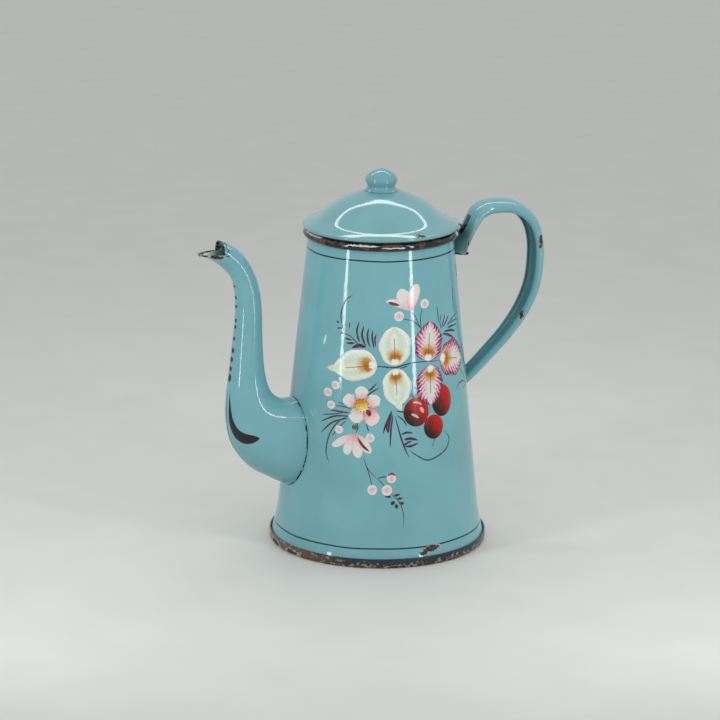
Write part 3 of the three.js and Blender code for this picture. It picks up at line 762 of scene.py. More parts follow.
def handle_strap():
    """The dished strap, its section carried down the stations and closed at both ends."""
    stations = handle_stations()
    sections = [strap_section(wide, swell) for _, _, wide, swell in stations]

    def place(along, round_):
        n = round(along * HANDLE_STEPS)
        back, inward = stations[n][:2]
        corner = sections[n][round(round_ * (len(sections[n]) - 1))]
        return back + (Vector((0, corner.x, 0)) + inward * corner.y) * MM

    mesh = bmesh.new()
    bent_grid(mesh, HANDLE_STEPS, len(sections[0]) - 1, place)
    bmesh.ops.remove_doubles(mesh, verts=mesh.verts, dist=MERGED * MM)
    bmesh.ops.holes_fill(mesh, edges=[e for e in mesh.edges if e.is_boundary], sides=0)
    bmesh.ops.recalc_face_normals(mesh, faces=mesh.faces)
    return finished("handle_enamelled", mesh)


def tongue_slot():
    """The square hole through the strap's back."""
    low = Vector((RIM_WALL_RADIUS + SLOT_START, -SLOT_WIDTH / 2, HINGE_PIN.z - SLOT_DROP))
    high = Vector((HINGE_PIN.x + SLOT_RISE, SLOT_WIDTH / 2, HINGE_PIN.z + SLOT_RISE))
    mesh = bmesh.new()
    size = Matrix.Diagonal((*(high - low) * MM, 1))
    bmesh.ops.create_cube(mesh, size=1, matrix=Matrix.Translation((low + high) / 2 * MM) @ size)
    return finished("slot", mesh)


def burnt_end(tree, place):
    """The lower edge of the strap's upper root, where the coat has burnt back to black."""
    up = swayed(tree, place, "Z", 5, 0.5, 3)
    near = node(tree, "Math", {0: up, 1: ROOT_END + 2.5, 2: 1.6}, operation="COMPARE")
    out = node(tree, "SeparateXYZ", {0: place}, "X")
    root = node(tree, "Math", {0: out, 1: ROOT_REACH}, operation="LESS_THAN")
    return node(tree, "Math", {0: near, 1: root}, operation="MULTIPLY")


def painted_shade_root(tree, place):
    """Painted shade on the side of the upper root towards the lid, where the lid overhangs it."""
    out = node(tree, "SeparateXYZ", {0: place}, "X")
    up = node(tree, "SeparateXYZ", {0: place}, "Z")
    out = node(tree, "MapRange", {0: out, 1: ROOT_SHADE_OUT[0], 2: ROOT_SHADE_OUT[1], 3: 0, 4: 0.75})
    up = node(tree, "MapRange", {0: up, 1: ROOT_SHADE_UP[0], 2: ROOT_SHADE_UP[1], 3: 0, 4: 1})
    return node(tree, "Math", {0: out, 1: up}, operation="MULTIPLY")


HANDLE_CHIPS = [
    ((109.0, -9.8, 196.0), 4, 6.0, 0, 1.5),
    ((96.8, -9.4, 147.6), 4, 5.6, 0, 1.7),
    ((57.8, -9.6, 197.4), 4, 2.3, 0, 1.4),
    ((82.0, 9.6, 221.0), 3.0, 1.2, 0),
]
handle = handle_strap()
cut(handle, wall_core(-SEAT_GAP))
cut(handle, tongue_slot())
handle.data.materials.append(
    enamel(
        "handle_sky_blue_enamel",
        HANDLE_BLUE,
        # First the painted shade on the root's side towards the lid, then the dark seam and burnt
        # edge.
        [(painted_shade_root, "#2c5054"), (root_seam, "#141c22"), (burnt_end, "#141618")],
        HANDLE_CHIPS,
        gloss=0.05,
        ripple_depth=0.015,
    )
)
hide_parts("handle")
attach(handle, "pot")

# Hinge: a folded steel clip inside the strap holds a short pin, and a steel tongue brazed to the
# lid's lip reaches through the slot to a knuckle on that pin. Clip and pin are bare, dark and
# rusted. The tongue gets the lid's enamel, in the lid's section.
HINGE_STEEL = "#2f2d2b"
hinge_steel = steel("dark_mild_steel", HINGE_STEEL, 0.45)
for name in ("hinge_bracket", "hinge_pin"):
    give_finish(name, hinge_steel)

# Lid: an ogee dome of thin sheet steel with a rolled lip, a collar brazed inside it that drops in
# the mouth, and the tongue of the hinge. Dome and collar are dipped in the body's blue.
LIP_RADIUS = 1.25
LIP_CENTRE = (49.75, 212.6)
DOME_FOOT = 214.2
DOME_RADIUS = 49.2
DOME_HEIGHT = 22.8
DOME_HOLE = 2.5
DOME_STEPS, DOME_PASSES = 102, 30
LIP_START, LIP_END, LIP_STEPS = 70, -180, 26
COLLAR_RADIUS, COLLAR_LOW, COLLAR_SHEET = 44.8, 203.3, 0.8
BARE_KNUCKLE = (55.5, 56)
LID_BLUE = "#70a3a8"
# Out over the dome: shares of its radius and of its height.
DOME_SHARES = [
    (0.122, 0.978), (0.203, 0.932), (0.285, 0.875), (0.366, 0.811), (0.447, 0.743),
    (0.518, 0.673), (0.579, 0.601), (0.64, 0.511), (0.701, 0.406), (0.762, 0.294), (0.805, 0.217),
    (0.843, 0.154), (0.88, 0.105), (0.911, 0.076), (0.939, 0.053), (0.967, 0.032),
]


def eased(rows, steps, passes):
    """A smooth line through rows of points, its small kinks evened out as a roller does."""
    line = [through(rows, n / steps) for n in range(steps + 1)]
    for _ in range(passes):
        inner = [(a + 2 * b + c) / 4 for a, b, c in zip(line, line[1:], line[2:])]
        line = [line[0], *inner, line[-1]]
    return [tuple(point) for point in line]


def inset(line, depth):
    """A line of profile points moved aside by a depth, to the right of the way it runs."""
    moved = []
    for n, point in enumerate(line):
        before, after = line[max(n - 1, 0)], line[min(n + 1, len(line) - 1)]
        run = Vector((after[0] - before[0], after[1] - before[1])).normalized()
        moved.append((point[0] + run.y * depth, point[1] - run.x * depth))
    return moved


dome_lip = arc(LIP_CENTRE, LIP_RADIUS, LIP_START, LIP_END, LIP_STEPS)
dome_rows = [Vector((DOME_RADIUS * out, DOME_FOOT + DOME_HEIGHT * up)) for out, up in DOME_SHARES]
dome_rows = [Vector((DOME_HOLE, DOME_FOOT + DOME_HEIGHT))] + dome_rows + [Vector(dome_lip[0])]
dome_line = eased(dome_rows, DOME_STEPS, DOME_PASSES)[:-1]
dome_inside = inset(dome_line, SHEET)
dome_inside[0] = (DOME_HOLE, dome_inside[0][1])
LID_CHIPS = [
    ((10.0, -48.2, 214.0), 4.6, 1.0, 0),
    ((-20.0, 46.0, 213.4), 3.5, 0.9, 0),
]
lid_enamel = enamel("lid_sky_blue_enamel", LID_BLUE, chips=LID_CHIPS, ripple_depth=0.01)
lid = turned("lid_enamelled", dome_line + dome_lip + dome_inside[::-1])
collar_inside = COLLAR_RADIUS - COLLAR_SHEET
collar_high = DOME_FOOT - SEAT_GAP
collar_out = [(COLLAR_RADIUS, COLLAR_LOW), (COLLAR_RADIUS, collar_high)]
collar_in = [(collar_inside, collar_high), (collar_inside, COLLAR_LOW)]
collar = turned("collar_enamelled", collar_out + collar_in)
for made, cad in ((lid, "lid_dome"), (collar, "lid_collar")):
    made.data.materials.append(lid_enamel)
    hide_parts(cad)
    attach(made, "lid")


def bare_knuckle(tree, place):
    """The tongue's outer end, where the slot and the pin have worn the enamel off."""
    out = swayed(tree, place, "X", 3, 0.5, 4)
    return node(tree, "MapRange", {0: out, 1: BARE_KNUCKLE[0], 2: BARE_KNUCKLE[1], 3: 0, 4: 1})


tongue_enamel = enamel("tongue_sky_blue_enamel", LID_BLUE, [(bare_knuckle, "#1d1b19")])
give_finish("lid_tongue", tongue_enamel)

# Knob: a hollow pressed button with a waisted foot, enamelled with the lid and held to it by one
# rivet, whose head is bare steel under the dome.
KNOB_RADIUS = 10.5
KNOB_HEIGHT = 14.2
KNOB_SHEET = 1.1
KNOB_FOOT = 235.4
KNOB_STEPS, KNOB_PASSES, KNOB_SIDES = 60, 8, 96
KNOB_BLUE = "#6c9ea6"
RIVET_GREY = "#77726c"
KNOB_SHARES = [
    (1.05, 0), (0.9, 0.1), (0.857, 0.19), (0.92, 0.3), (0.985, 0.4), (1, 0.52), (0.905, 0.66),
    (0.695, 0.815), (0.34, 0.945), (0, 1),
]
knob_rows = [Vector((KNOB_RADIUS * out, KNOB_FOOT + KNOB_HEIGHT * up)) for out, up in KNOB_SHARES]
knob_line = eased(knob_rows, KNOB_STEPS, KNOB_PASSES)
knob_line[-1] = (0, knob_line[-1][1])
knob_inside = inset(knob_line, -KNOB_SHEET)
knob_inside[0] = (knob_inside[0][0], KNOB_FOOT)
knob_inside[-1] = (0, knob_inside[-1][1])
knob = turned("knob_enamelled", knob_line + knob_inside[::-1], KNOB_SIDES)
knob_enamel = enamel("knob_sky_blue_enamel", KNOB_BLUE, gloss=0.04, ripple_depth=0.005)
knob.data.materials.append(knob_enamel)
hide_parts("lid_knob")
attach(knob, "lid")
give_finish("knob_rivet", steel("rivet_steel", RIVET_GREY, 0.35))

# Painted spray: flowers, leaves, berries and ferns in the folk manner, laid on the fired coat with
# a brush in overglaze colours and fired again. Each mark stands 0.04 to 0.19 mm off the wall. The
# places of the marks are (round the wall, height) in millimetres, from the middle of the view.
SPRAY_MIDDLE = math.radians(-110)
SPRAY_RADIUS = 57.0
PAINT_DEPTH = 0.12
PAINT_GLOSS = 0.16
MARK_LONG, MARK_WIDE = 28, 8
LAYERS, LAYER_STEP = 8, 0.004
BRUSH_HALF = 0.62
SPOUT_RUN = 290.0


def on_wall(across, up, lift):
    """A place of the painting on the wall, or a lift off it."""
    turn = SPRAY_MIDDLE + across / SPRAY_RADIUS
    radius = wall_radius(up) + lift
    return Vector((radius * math.cos(turn), radius * math.sin(turn), up)) * MM


def on_neck(across, up, lift):
    """The same for the spout: girth from its front line, and run along it."""
    along = up / SPOUT_RUN
    girth = (on_spout(along, 0) - on_spout(along, math.pi)).length
    girth = girth / 4 + SPOUT_ROOT_WIDTH * MM * through(SPOUT_WIDTH, along) / 4
    turn = -across * MM / girth
    centre = (on_spout(along, 0) + on_spout(along, math.pi)) / 2
    place = on_spout(along, turn)
    return place + (place - centre).normalized() * lift * MM


def painted(name, marks, material, lift, lay=on_wall):
    """One object of brush marks. A mark is its spine, and for each hand its width and the share
    along where it is widest; then how blunt it begins and ends, and how frilled its edge is."""
    mesh = bmesh.new()
    sheet = mesh.loops.layers.uv.new("UVMap")
    for order, (spine, hands, blunt, frill) in enumerate(marks):
        spine = [Vector(point) for point in spine]
        made = bmesh.ops.create_grid(mesh, x_segments=MARK_LONG, y_segments=MARK_WIDE, size=1)
        for corner in made["verts"]:
            hand = corner.co.y
            along = (1 + math.sin(corner.co.x * math.pi / 2)) / 2
            wide, peak = hands[hand > 0]
            reach = along / peak if along < peak else (1 - along) / (1 - peak)
            rounding = blunt[along > peak]
            half = wide * max(1 - (1 - reach) ** 2, 0) ** rounding
            wave = math.sin(along * 70 + hand) + 2 * math.sin(along * 13 + order * hand)
            half *= 1 + frill * wave
            run = through(spine, min(along + 0.01, 1)) - through(spine, max(along - 0.01, 0))
            run.normalize()
            flat = through(spine, along) + Vector((-run.y, run.x)) * half * hand
            corner.co = lay(flat.x, flat.y, lift + LAYER_STEP * (order % LAYERS))
            for loop in corner.link_loops:
                loop[sheet].uv = (along, (1 + hand) / 2)
    bmesh.ops.remove_doubles(mesh, verts=mesh.verts, dist=SLIVER * MM)
    bmesh.ops.dissolve_degenerate(mesh, edges=mesh.edges, dist=SLIVER / 2 * MM)
    made = finished(name, mesh)
    made.data.materials.append(material)
    thick = made.modifiers.new("paint", "SOLIDIFY")
    thick.thickness = PAINT_DEPTH * MM
    thick.offset = -1
    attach(made, "pot")


def stroke(spine, width):
    """A mark of one pull of the brush, pointed at both ends."""
    return spine, [(BRUSH_HALF * width, 0.5)] * 2, (0.6, 0.6), 0


def leaf(base, tip, widest, other_widest, frill=0, blunt=(0.5, 0.6)):
    """A mark from a base to a tip, through a widest place on either side."""
    base, tip = Vector(base), Vector(tip)
    run = (tip - base).normalized()
    hands = [None, None]
    for side in (widest, other_widest):
        away = Vector(side) - base
        off = away.dot(Vector((-run.y, run.x)))
        hands[off > 0] = (abs(off), away.dot(run) / (tip - base).length)
    return [base, tip], hands, blunt, frill


def round_mark(across, up, wide, high):
    """A round mark about its middle, by half its width and height."""
    return [(across, up - high), (across, up + high)], [(wide, 0.5)] * 2, (0.5, 0.5), 0


def paint(name):
    """An overglaze paint: its material, tree and shader, the shares along and across a mark and
    out from its spine, and a loose noise in patches of 2 mm for its brushing."""
    material, tree, shader, place = surface(name, 0, PAINT_GLOSS)
    sheet = tree.nodes.new("ShaderNodeTexCoord").outputs["UV"]
    along = node(tree, "SeparateXYZ", {0: sheet}, "X")
    across = node(tree, "SeparateXYZ", {0: sheet}, "Y")
    out = node(tree, "Math", {0: across, 1: 2, 2: -1}, operation="MULTIPLY_ADD")
    out = node(tree, "Math", {0: out}, operation="ABSOLUTE")
    loose = node(tree, "TexNoise", {"Vector": place, "Scale": 0.5, "Detail": 3}, "Fac")
    return material, tree, shader, along, across, out, loose


def one_colour(name, thick, thin):
    """A paint for fine marks, that thins out here and there so that the ground shows."""
    material, tree, shader, _, _, _, loose = paint(name)
    colour = node(tree, "ValToRGB", {"Fac": loose}, ramp=[(0.42, thick), (0.66, thin)])
    tree.links.new(colour, shader.inputs["Base Color"])
    return material


def leaf_paint(name, rim, streak):
    """Leaf colours: a ramp out to the rim, combed by streaks, and an ochre throat with a white
    notch at the base and a fine dark vein."""
    material, tree, shader, along, _, out, loose = paint(name)
    comb = node(tree, "Math", {0: loose, 1: 10}, operation="MULTIPLY")
    comb = node(tree, "Math", {0: along, 1: 57, 2: comb}, operation="MULTIPLY_ADD")
    comb = node(tree, "Math", {0: out, 1: -17, 2: comb}, operation="MULTIPLY_ADD")
    comb = node(tree, "Math", {0: comb}, operation="SINE")
    edge = node(tree, "Math", {0: comb, 1: streak, 2: out}, operation="MULTIPLY_ADD")
    tip = node(tree, "MapRange", {0: along, 1: 0.78, 2: 1, 3: 0, 4: 0.45})
    edge = node(tree, "Math", {0: edge, 1: tip}, operation="ADD")
    edge = node(tree, "Math", {0: loose, 1: 0.3, 2: edge}, operation="MULTIPLY_ADD")
    edge = node(tree, "Math", {0: edge, 1: 0.8}, operation="MULTIPLY")
    colour = node(tree, "ValToRGB", {"Fac": edge}, ramp=rim)
    for centre, long, wide, tone, soft in (
        (0.22, 0.24, 0.68, "#c98f2f", 0.5),
        (0.19, 0.13, 0.56, "#a86c17", 0.4),
        (0.04, 0.15, 0.42, "#ece7e3", 0.2),
    ):
        away = node(tree, "Math", {0: along, 1: centre}, operation="SUBTRACT")
        away = node(tree, "Math", {0: away, 1: long}, operation="DIVIDE")
        aside = node(tree, "Math", {0: out, 1: wide}, operation="DIVIDE")
        away = node(tree, "CombineXYZ", {0: away, 1: aside, 2: loose})
        away = node(tree, "VectorMath", {0: away}, "Value", operation="LENGTH")
        share = node(tree, "MapRange", {0: away, 1: 1.15, 2: 1.15 - soft, 3: 0, 4: 0.95})
        mixing = {0: share, UNDER: colour, OVER: linear(tone)}
        colour = node(tree, "Mix", mixing, MIXED, data_type="RGBA")
    near = node(tree, "Math", {0: out, 1: 0.035}, operation="LESS_THAN")
    run = node(tree, "Math", {0: along, 1: 0.42, 2: 0.28}, operation="COMPARE")
    share = node(tree, "Math", {0: near, 1: run}, operation="MULTIPLY")
    share = node(tree, "Math", {0: share, 1: 0.6}, operation="MULTIPLY")
    mixing = {0: share, UNDER: colour, OVER: linear("#4f463d")}
    colour = node(tree, "Mix", mixing, MIXED, data_type="RGBA")
    tree.links.new(colour, shader.inputs["Base Color"])
    return material


def shaded_paint(name, lengthways, crossways, ramp, start=0):
    """A paint shaded from one end or one side of a mark to the other."""
    material, tree, shader, along, across, _, loose = paint(name)
    shade = node(tree, "Math", {0: along, 1: lengthways, 2: start}, operation="MULTIPLY_ADD")
    shade = node(tree, "Math", {0: across, 1: crossways, 2: shade}, operation="MULTIPLY_ADD")
    shade = node(tree, "Math", {0: loose, 1: 0.3, 2: shade}, operation="MULTIPLY_ADD")
    colour = node(tree, "ValToRGB", {"Fac": shade}, ramp=ramp)
    tree.links.new(colour, shader.inputs["Base Color"])
    return material


def bud_paint():
    """Round buds: a pink middle that fades out to a white rim."""
    material, tree, shader, along, _, out, loose = paint("bud_paint")
    along = node(tree, "Math", {0: along, 1: 2, 2: -1}, operation="MULTIPLY_ADD")
    away = node(tree, "CombineXYZ", {0: along, 1: out})
    away = node(tree, "VectorMath", {0: away}, "Value", operation="LENGTH")
    loose = node(tree, "Math", {0: loose, 1: 0.8}, operation="MULTIPLY")
    away = node(tree, "Math", {0: away, 1: 0.6, 2: loose}, operation="MULTIPLY_ADD")
    rings = [(0.2, "#d09aa4"), (0.62, "#d9b8bd"), (0.92, "#dedad7")]
    colour = node(tree, "ValToRGB", {"Fac": away}, ramp=rings)
    tree.links.new(colour, shader.inputs["Base Color"])
    return material


# Each stroke is its spine and its width.
FERNS = [
    ([(-26.0, 151.2), (-20.6, 149.9), (-15.4, 145.8), (-12.5, 143.4)], 0.5),
    ([(-19.9, 176.4), (-25.1, 172.7), (-28.2, 165.2), (-27.7, 158.2), (-25.3, 152.6)], 0.8),
    ([(-14.2, 159.8), (-15.8, 154.2), (-14.8, 149.1), (-13.3, 146.6)], 1.1),
    ([(-10.9, 157.1), (-12.1, 151.8), (-10.9, 147.4), (-9.1, 144.3)], 1.2),
    ([(-7.3, 155.9), (-8.3, 152.0), (-7.8, 147.5), (-6.3, 143.7)], 1.1),
    ([(-4.5, 154.8), (-5.1, 150.9), (-4.3, 146.4), (-3.6, 143.2)], 1.0),
    ([(-2.1, 152.2), (-3.0, 149.0), (-2.6, 143.8)], 0.9),
    ([(-31.7, 158.3), (-29.4, 157.6)], 1.0),
    ([(-31.0, 153.9), (-26.2, 154.5)], 0.8),
    ([(-28.3, 151.0), (-25.2, 151.3)], 0.8),
    ([(-24.7, 148.2), (-19.1, 147.4)], 1.0),
    ([(-23.3, 145.1), (-16.8, 145.7)], 1.1),
    ([(-18.8, 142.6), (-13.9, 144.3), (-9.1, 143.6)], 2.0),
    ([(-21.5, 158.8), (-21.3, 155.0)], 0.6),
    ([(45.3, 166.9), (45.7, 160.3), (45.8, 155.8)], 0.6),
    ([(49.0, 161.1), (47.4, 156.2), (48.0, 151.5)], 0.6),
    ([(53.5, 160.3), (50.6, 155.6), (48.6, 152.0)], 0.9),
    ([(57.8, 158.9), (53.5, 155.1), (50.2, 152.4)], 0.9),
    ([(73.1, 158.4), (62.5, 156.0), (55.1, 153.5)], 0.6),
    ([(72.9, 153.8), (62.2, 154.1), (55.0, 152.8)], 0.6),
    ([(68.6, 151.1), (60.1, 151.2), (55.4, 151.1)], 1.0),
    ([(65.8, 147.0), (58.4, 148.9), (51.0, 149.3)], 1.4),
    ([(61.8, 143.6), (55.4, 146.5), (49.2, 148.3)], 1.4),
    ([(-17.0, 102.8), (-23.8, 104.0), (-28.0, 103.5)], 0.6),
    ([(-18.2, 100.1), (-26.4, 100.4), (-32.2, 100.2)], 0.9),
    ([(-18.1, 98.2), (-28.3, 96.9), (-38.5, 91.8)], 0.9),
    ([(-19.4, 96.7), (-29.5, 92.8), (-37.9, 84.7)], 0.9),
    ([(-17.5, 98.9), (-25.3, 94.0), (-31.1, 85.3), (-33.2, 73.7), (-30.5, 65.7)], 0.7),
    ([(-20.9, 100.5), (-29.8, 98.0), (-38.2, 96.5)], 0.6),
    ([(-20.0, 95.4), (-25.7, 89.4), (-29.6, 83.6)], 0.6),
    ([(-1.2, 120.6), (-5.0, 116.6), (-8.2, 114.5)], 0.8),
    ([(0.1, 117.4), (-4.4, 114.7), (-7.5, 112.0)], 0.8),
    ([(8.5, 103.1), (4.7, 94.0), (2.9, 87.5)], 1.0),
    ([(8.2, 101.8), (6.0, 94.0), (6.0, 88.2)], 2.2),
    ([(9.1, 100.4), (7.8, 90.1), (7.2, 78.4)], 0.9),
    ([(10.4, 99.1), (13.4, 87.2), (16.5, 77.2), (18.9, 71.8)], 0.8),
    ([(11.0, 102.3), (16.2, 101.4), (19.5, 99.8)], 0.9),
    ([(11.6, 99.7), (15.5, 96.2), (18.0, 92.1)], 0.7),
    ([(14.1, 86.9), (17.9, 87.9), (21.8, 87.2)], 1.2),
    ([(15.9, 83.2), (19.8, 83.8), (25.0, 82.3)], 1.5),
    ([(15.2, 79.3), (18.4, 81.3), (21.0, 82.1)], 1.2),
    ([(16.5, 78.9), (20.3, 78.9), (25.0, 80.3)], 1.3),
    ([(4.3, 47.1), (7.8, 46.3)], 1.4),
    ([(7.8, 41.1), (9.8, 43.6)], 1.8),
    ([(11.2, 38.6), (10.6, 41.6)], 1.7),
    ([(12.4, 42.2), (15.3, 41.6)], 1.7),
    ([(11.2, 44.9), (14.8, 45.3)], 1.2),
    ([(9.5, 46.9), (13.0, 48.0)], 1.2),
]
STEMS = [
    ([(6.6, 49.0), (11.8, 44.2), (14.7, 36.1), (15.1, 25.5)], 0.4),
    (
        [(-8.7, 131.4), (0.6, 131.3), (10.6, 130.5), (18.1, 132.1), (26.8, 132.9), (46.1, 131.5)],
        0.8,
    ),
    ([(13.9, 129.7), (19.5, 131.0)], 0.6),
    ([(-9.0, 72.2), (-5.8, 64.5), (-0.4, 58.2)], 0.4),
    ([(-0.4, 58.2), (2.5, 59.5), (6.0, 59.5)], 0.6),
    ([(-9.0, 72.2), (-5.2, 61.3), (-3.0, 52.9)], 0.4),
    ([(-0.4, 58.2), (2.5, 55.6), (3.7, 53.0)], 0.4),
    ([(31.5, 167.4), (30.0, 161.1), (30.1, 154.6)], 0.5),
    ([(16.5, 161.6), (22.5, 160.2)], 0.5),
    ([(22.5, 160.8), (27.8, 156.8), (30.8, 153.3)], 0.7),
    ([(25.7, 163.5), (27.8, 158.1), (30.8, 153.3)], 0.5),
    ([(23.4, 165.6), (26.4, 161.5)], 0.5),
    ([(45.0, 85.6), (49.0, 78.8), (43.9, 71.9), (32.1, 68.2), (24.7, 71.8), (19.0, 76.4)], 0.8),
    ([(39.0, 84.1), (36.4, 80.0), (34.7, 76.3)], 0.4),
    ([(60.4, 108.7), (65.5, 112.1), (73.4, 111.8), (80.1, 108.3), (72.0, 107.1)], 0.8),
    ([(67.6, 122.3), (74.8, 115.8), (82.8, 108.2)], 0.6),
    ([(-14.8, 97.2), (-12.7, 91.5), (-13.8, 87.5)], 0.6),
    ([(-7.7, 93.8), (-5.7, 88.7)], 0.6),
    ([(-22.5, 105.5), (-26.8, 106.3)], 0.5),
    ([(66.8, 176.3), (65.9, 168.5), (66.6, 159.1)], 0.5),
    ([(25.1, 105.1), (23.1, 109.9), (20.5, 113.4)], 0.6),
]
# Each leaf is its base, its tip, its widest place on either side, its frill, and how blunt it is.
PALE_LEAVES = [
    ((-1.4, 132.3), (-32.1, 127.7), (-15.2, 141.9), (-14.4, 121.3), 0.016, (0.5, 0.75)),
    ((10.6, 131.8), (10.0, 156.7), (-0.2, 143.9), (22.0, 145.1), 0.022),
    ((10.6, 129.6), (12.3, 105.5), (2.4, 117.4), (21.6, 117.9), 0.022, (0.5, 0.7)),
]
LEAF_TAILS = [
    ((-26.5, 127.9), (-37.5, 127.2), (-29.5, 130.6), (-29.5, 125.4), 0, (1, 1.2)),
    ((11.4, 110.5), (14.8, 101.8), (9.7, 106.6), (14.7, 107.4), 0, (1, 1.2)),
]
PINK_LEAVES = [
    ((34.6, 132.7), (37.9, 157.9), (24.6, 143.5), (48.1, 142.3), 0.03),
    ((45.2, 133.0), (73.4, 127.6), (60.3, 143.2), (54.9, 119.5), 0.03),
    ((36.1, 129.8), (35.4, 103.8), (25.1, 116.9), (46.0, 119.7), 0.03),
]
PETALS = [
    ((-11.3, 109.2), (-11.6, 118.2), (-15.5, 114.0), (-6.9, 114.6), 0.04),
    ((-6.7, 106.2), (0.8, 110.9), (-5.0, 112.7), (-1.0, 105.1), 0.04),
    ((-12.4, 104.0), (-15.4, 94.2), (-18.6, 99.2), (-9.3, 97.0), 0.05),
    ((-15.1, 105.6), (-23.4, 108.7), (-20.4, 104.4), (-17.4, 112.6), 0.05),
    ((-14.6, 87.0), (-29.0, 77.4), (-24.6, 83.2), (-23.0, 78.2), 0, (0.9, 0.5)),
    ((-15.4, 86.7), (-19.3, 72.9), (-21.6, 77.4), (-15.7, 77.0), 0, (0.8, 0.5)),
    ((-14.6, 86.8), (-11.8, 71.4), (-15.8, 75.8), (-9.4, 77.4), 0, (0.7, 0.5)),
    ((-13.9, 86.9), (-4.4, 75.0), (-10.4, 77.6), (-6.2, 82.0), 0, (0.6, 0.5)),
    ((23.4, 166.3), (4.4, 172.9), (13.1, 173.9), (14.5, 168.7)),
    ((22.7, 167.0), (14.7, 180.9), (12.3, 174.0), (23.0, 176.0)),
    ((22.7, 167.0), (28.1, 183.3), (20.7, 177.4), (30.4, 177.9)),
]
ROSE_PETALS = [((-8.4, 104.2), (-3.6, 92.6), (-9.2, 97.0), (0.8, 98.8))]
# A short white dash on the wall, at the spray's left edge.
WHITE_DASH = [([(-41.2, 141.6), (-39.8, 148.6)], 1.3)]
RED_SHADES = [
    ([(-12.8, 84.8), (-9.5, 79.8), (-5.4, 76.0)], 1.5),
    ([(6.0, 172.6), (9.6, 171.6), (14.2, 170.4)], 1.6),
    ([(-7.6, 103.0), (-6.2, 101.2), (-5.6, 98.8)], 2.6),
    ([(5.8, 60.0), (8.1, 61.6), (10.5, 60.1)], 1.0),
]
# Each round mark is its middle and half its width and height.
HEART, CALYX = [(-10.6, 105.6, 5.0, 4.6)], [(-14.6, 91.3, 2.0, 1.7)]
STAMENS = [
    (-14.9, 104.4, 0.3, 0.3), (-15.2, 106.4, 0.4, 0.35), (-14.2, 108.6, 0.3, 0.4),
    (-13.0, 107.4, 0.3, 0.3), (-12.4, 109.6, 0.45, 0.35), (-10.4, 107.9, 0.35, 0.3),
    (-9.6, 110.0, 0.4, 0.4), (-7.9, 108.6, 0.35, 0.4), (-6.6, 106.8, 0.45, 0.4),
    (-6.4, 104.6, 0.5, 0.45), (-7.4, 102.6, 0.5, 0.4), (-9.3, 101.8, 0.4, 0.45),
    (-11.4, 101.6, 0.45, 0.35), (-13.4, 102.8, 0.35, 0.35), (-12.1, 105.2, 0.3, 0.3),
]
BUDS = [
    (-29.3, 117.0, 3.1, 2.7), (-34.8, 111.6, 3.3, 2.8), (-31.7, 103.8, 3.0, 2.6),
    (-25.0, 88.5, 2.8, 2.6), (-5.0, 84.8, 2.8, 2.9), (33.9, 170.0, 3.7, 3.0),
    (13.7, 163.4, 3.5, 3.2), (-3.1, 50.9, 2.8, 3.3), (8.1, 58.6, 2.8, 3.2),
    (5.4, 50.7, 3.1, 3.5),
]
BERRIES = [(44.8, 105.4, 8.7, 10.4), (36.9, 89.4, 7.5, 7.9), (24.6, 100.6, 8.8, 9.4)]
GLINTS = [
    ([(22.2, 107.0), (25.4, 106.8), (28.4, 105.0)], 1.1),
    ([(27.0, 103.6), (28.6, 101.4), (29.4, 99.6)], 2.0),
    ([(21.0, 99.6), (23.6, 98.4), (26.0, 96.6)], 1.4),
]
BERRY_REDS = [(0.12, "#bd1000"), (0.32, "#9f0800"), (0.46, "#560e05"), (0.62, "#1f1408")]
CREAM_GREENS = [(0.2, "#dfe2d6"), (0.42, "#c4d5be"), (0.6, "#d3ddcb"), (0.82, "#e2e5de")]
LEAF_PINKS = [(0.42, "#dcd6cf"), (0.6, "#d698b1"), (0.76, "#b8557f"), (0.95, "#4c1c3c")]
BLUSHES = [(0.2, "#cf9aa1"), (0.4, "#dcc0c1"), (0.6, "#dfd5d3"), (0.95, "#dadbd6")]
ROSES = [(0.15, "#b0504c"), (0.4, "#d8949a"), (0.7, "#e8cdcf")]
OCHRES = [(0.35, "#e4d3a2"), (0.55, "#dcac4a"), (0.75, "#c97f1c")]
for name, rows, kind, material, lift in (
    ("ferns", FERNS, stroke, one_colour("plum_paint", "#351a30", "#594562"), 0.04),
    ("stems", STEMS, stroke, one_colour("slate_paint", "#26384a", "#48636f"), 0.04),
    (
        "berries",
        BERRIES,
        round_mark,
        shaded_paint("cherry_red_paint", -0.45, 0.4, BERRY_REDS, start=0.25),
        0.06,
    ),
    ("pale_leaves", PALE_LEAVES, leaf, leaf_paint("cream_green_paint", CREAM_GREENS, 0.1), 0.07),
    ("leaf_tails", LEAF_TAILS, leaf, one_colour("cream_paint", "#d6dccb", "#c2d2bb"), 0.06),
    ("pink_leaves", PINK_LEAVES, leaf, leaf_paint("pink_paint", LEAF_PINKS, 0.24), 0.08),
    ("petals", PETALS, leaf, shaded_paint("blush_paint", 0.7, 0.1, BLUSHES), 0.08),
    ("rose_petals", ROSE_PETALS, leaf, shaded_paint("rose_paint", 0.7, 0.1, ROSES), 0.09),
    ("buds", BUDS, round_mark, bud_paint(), 0.08),
    ("shades", RED_SHADES, stroke, one_colour("brown_red_paint", "#6e1f1a", "#9d463c"), 0.12),
    ("glints", GLINTS, stroke, one_colour("pale_pink_paint", "#dcb9b2", "#c98f86"), 0.1),
    ("flower_heart", HEART, round_mark, shaded_paint("ochre_paint", 0.6, 0.2, OCHRES), 0.12),
    ("stamens", STAMENS, round_mark, one_colour("brown_paint", "#3a1c0e", "#6b3d1c"), 0.16),
    ("calyx", CALYX, round_mark, one_colour("green_paint", "#2f4a2f", "#5f7d55"), 0.1),
    ("white_dash", WHITE_DASH, stroke, one_colour("white_dash_paint", "#dfe5e2", "#c3d2d2"), 0.05),
):
    painted(name, [kind(*row) for row in rows], material, lift)

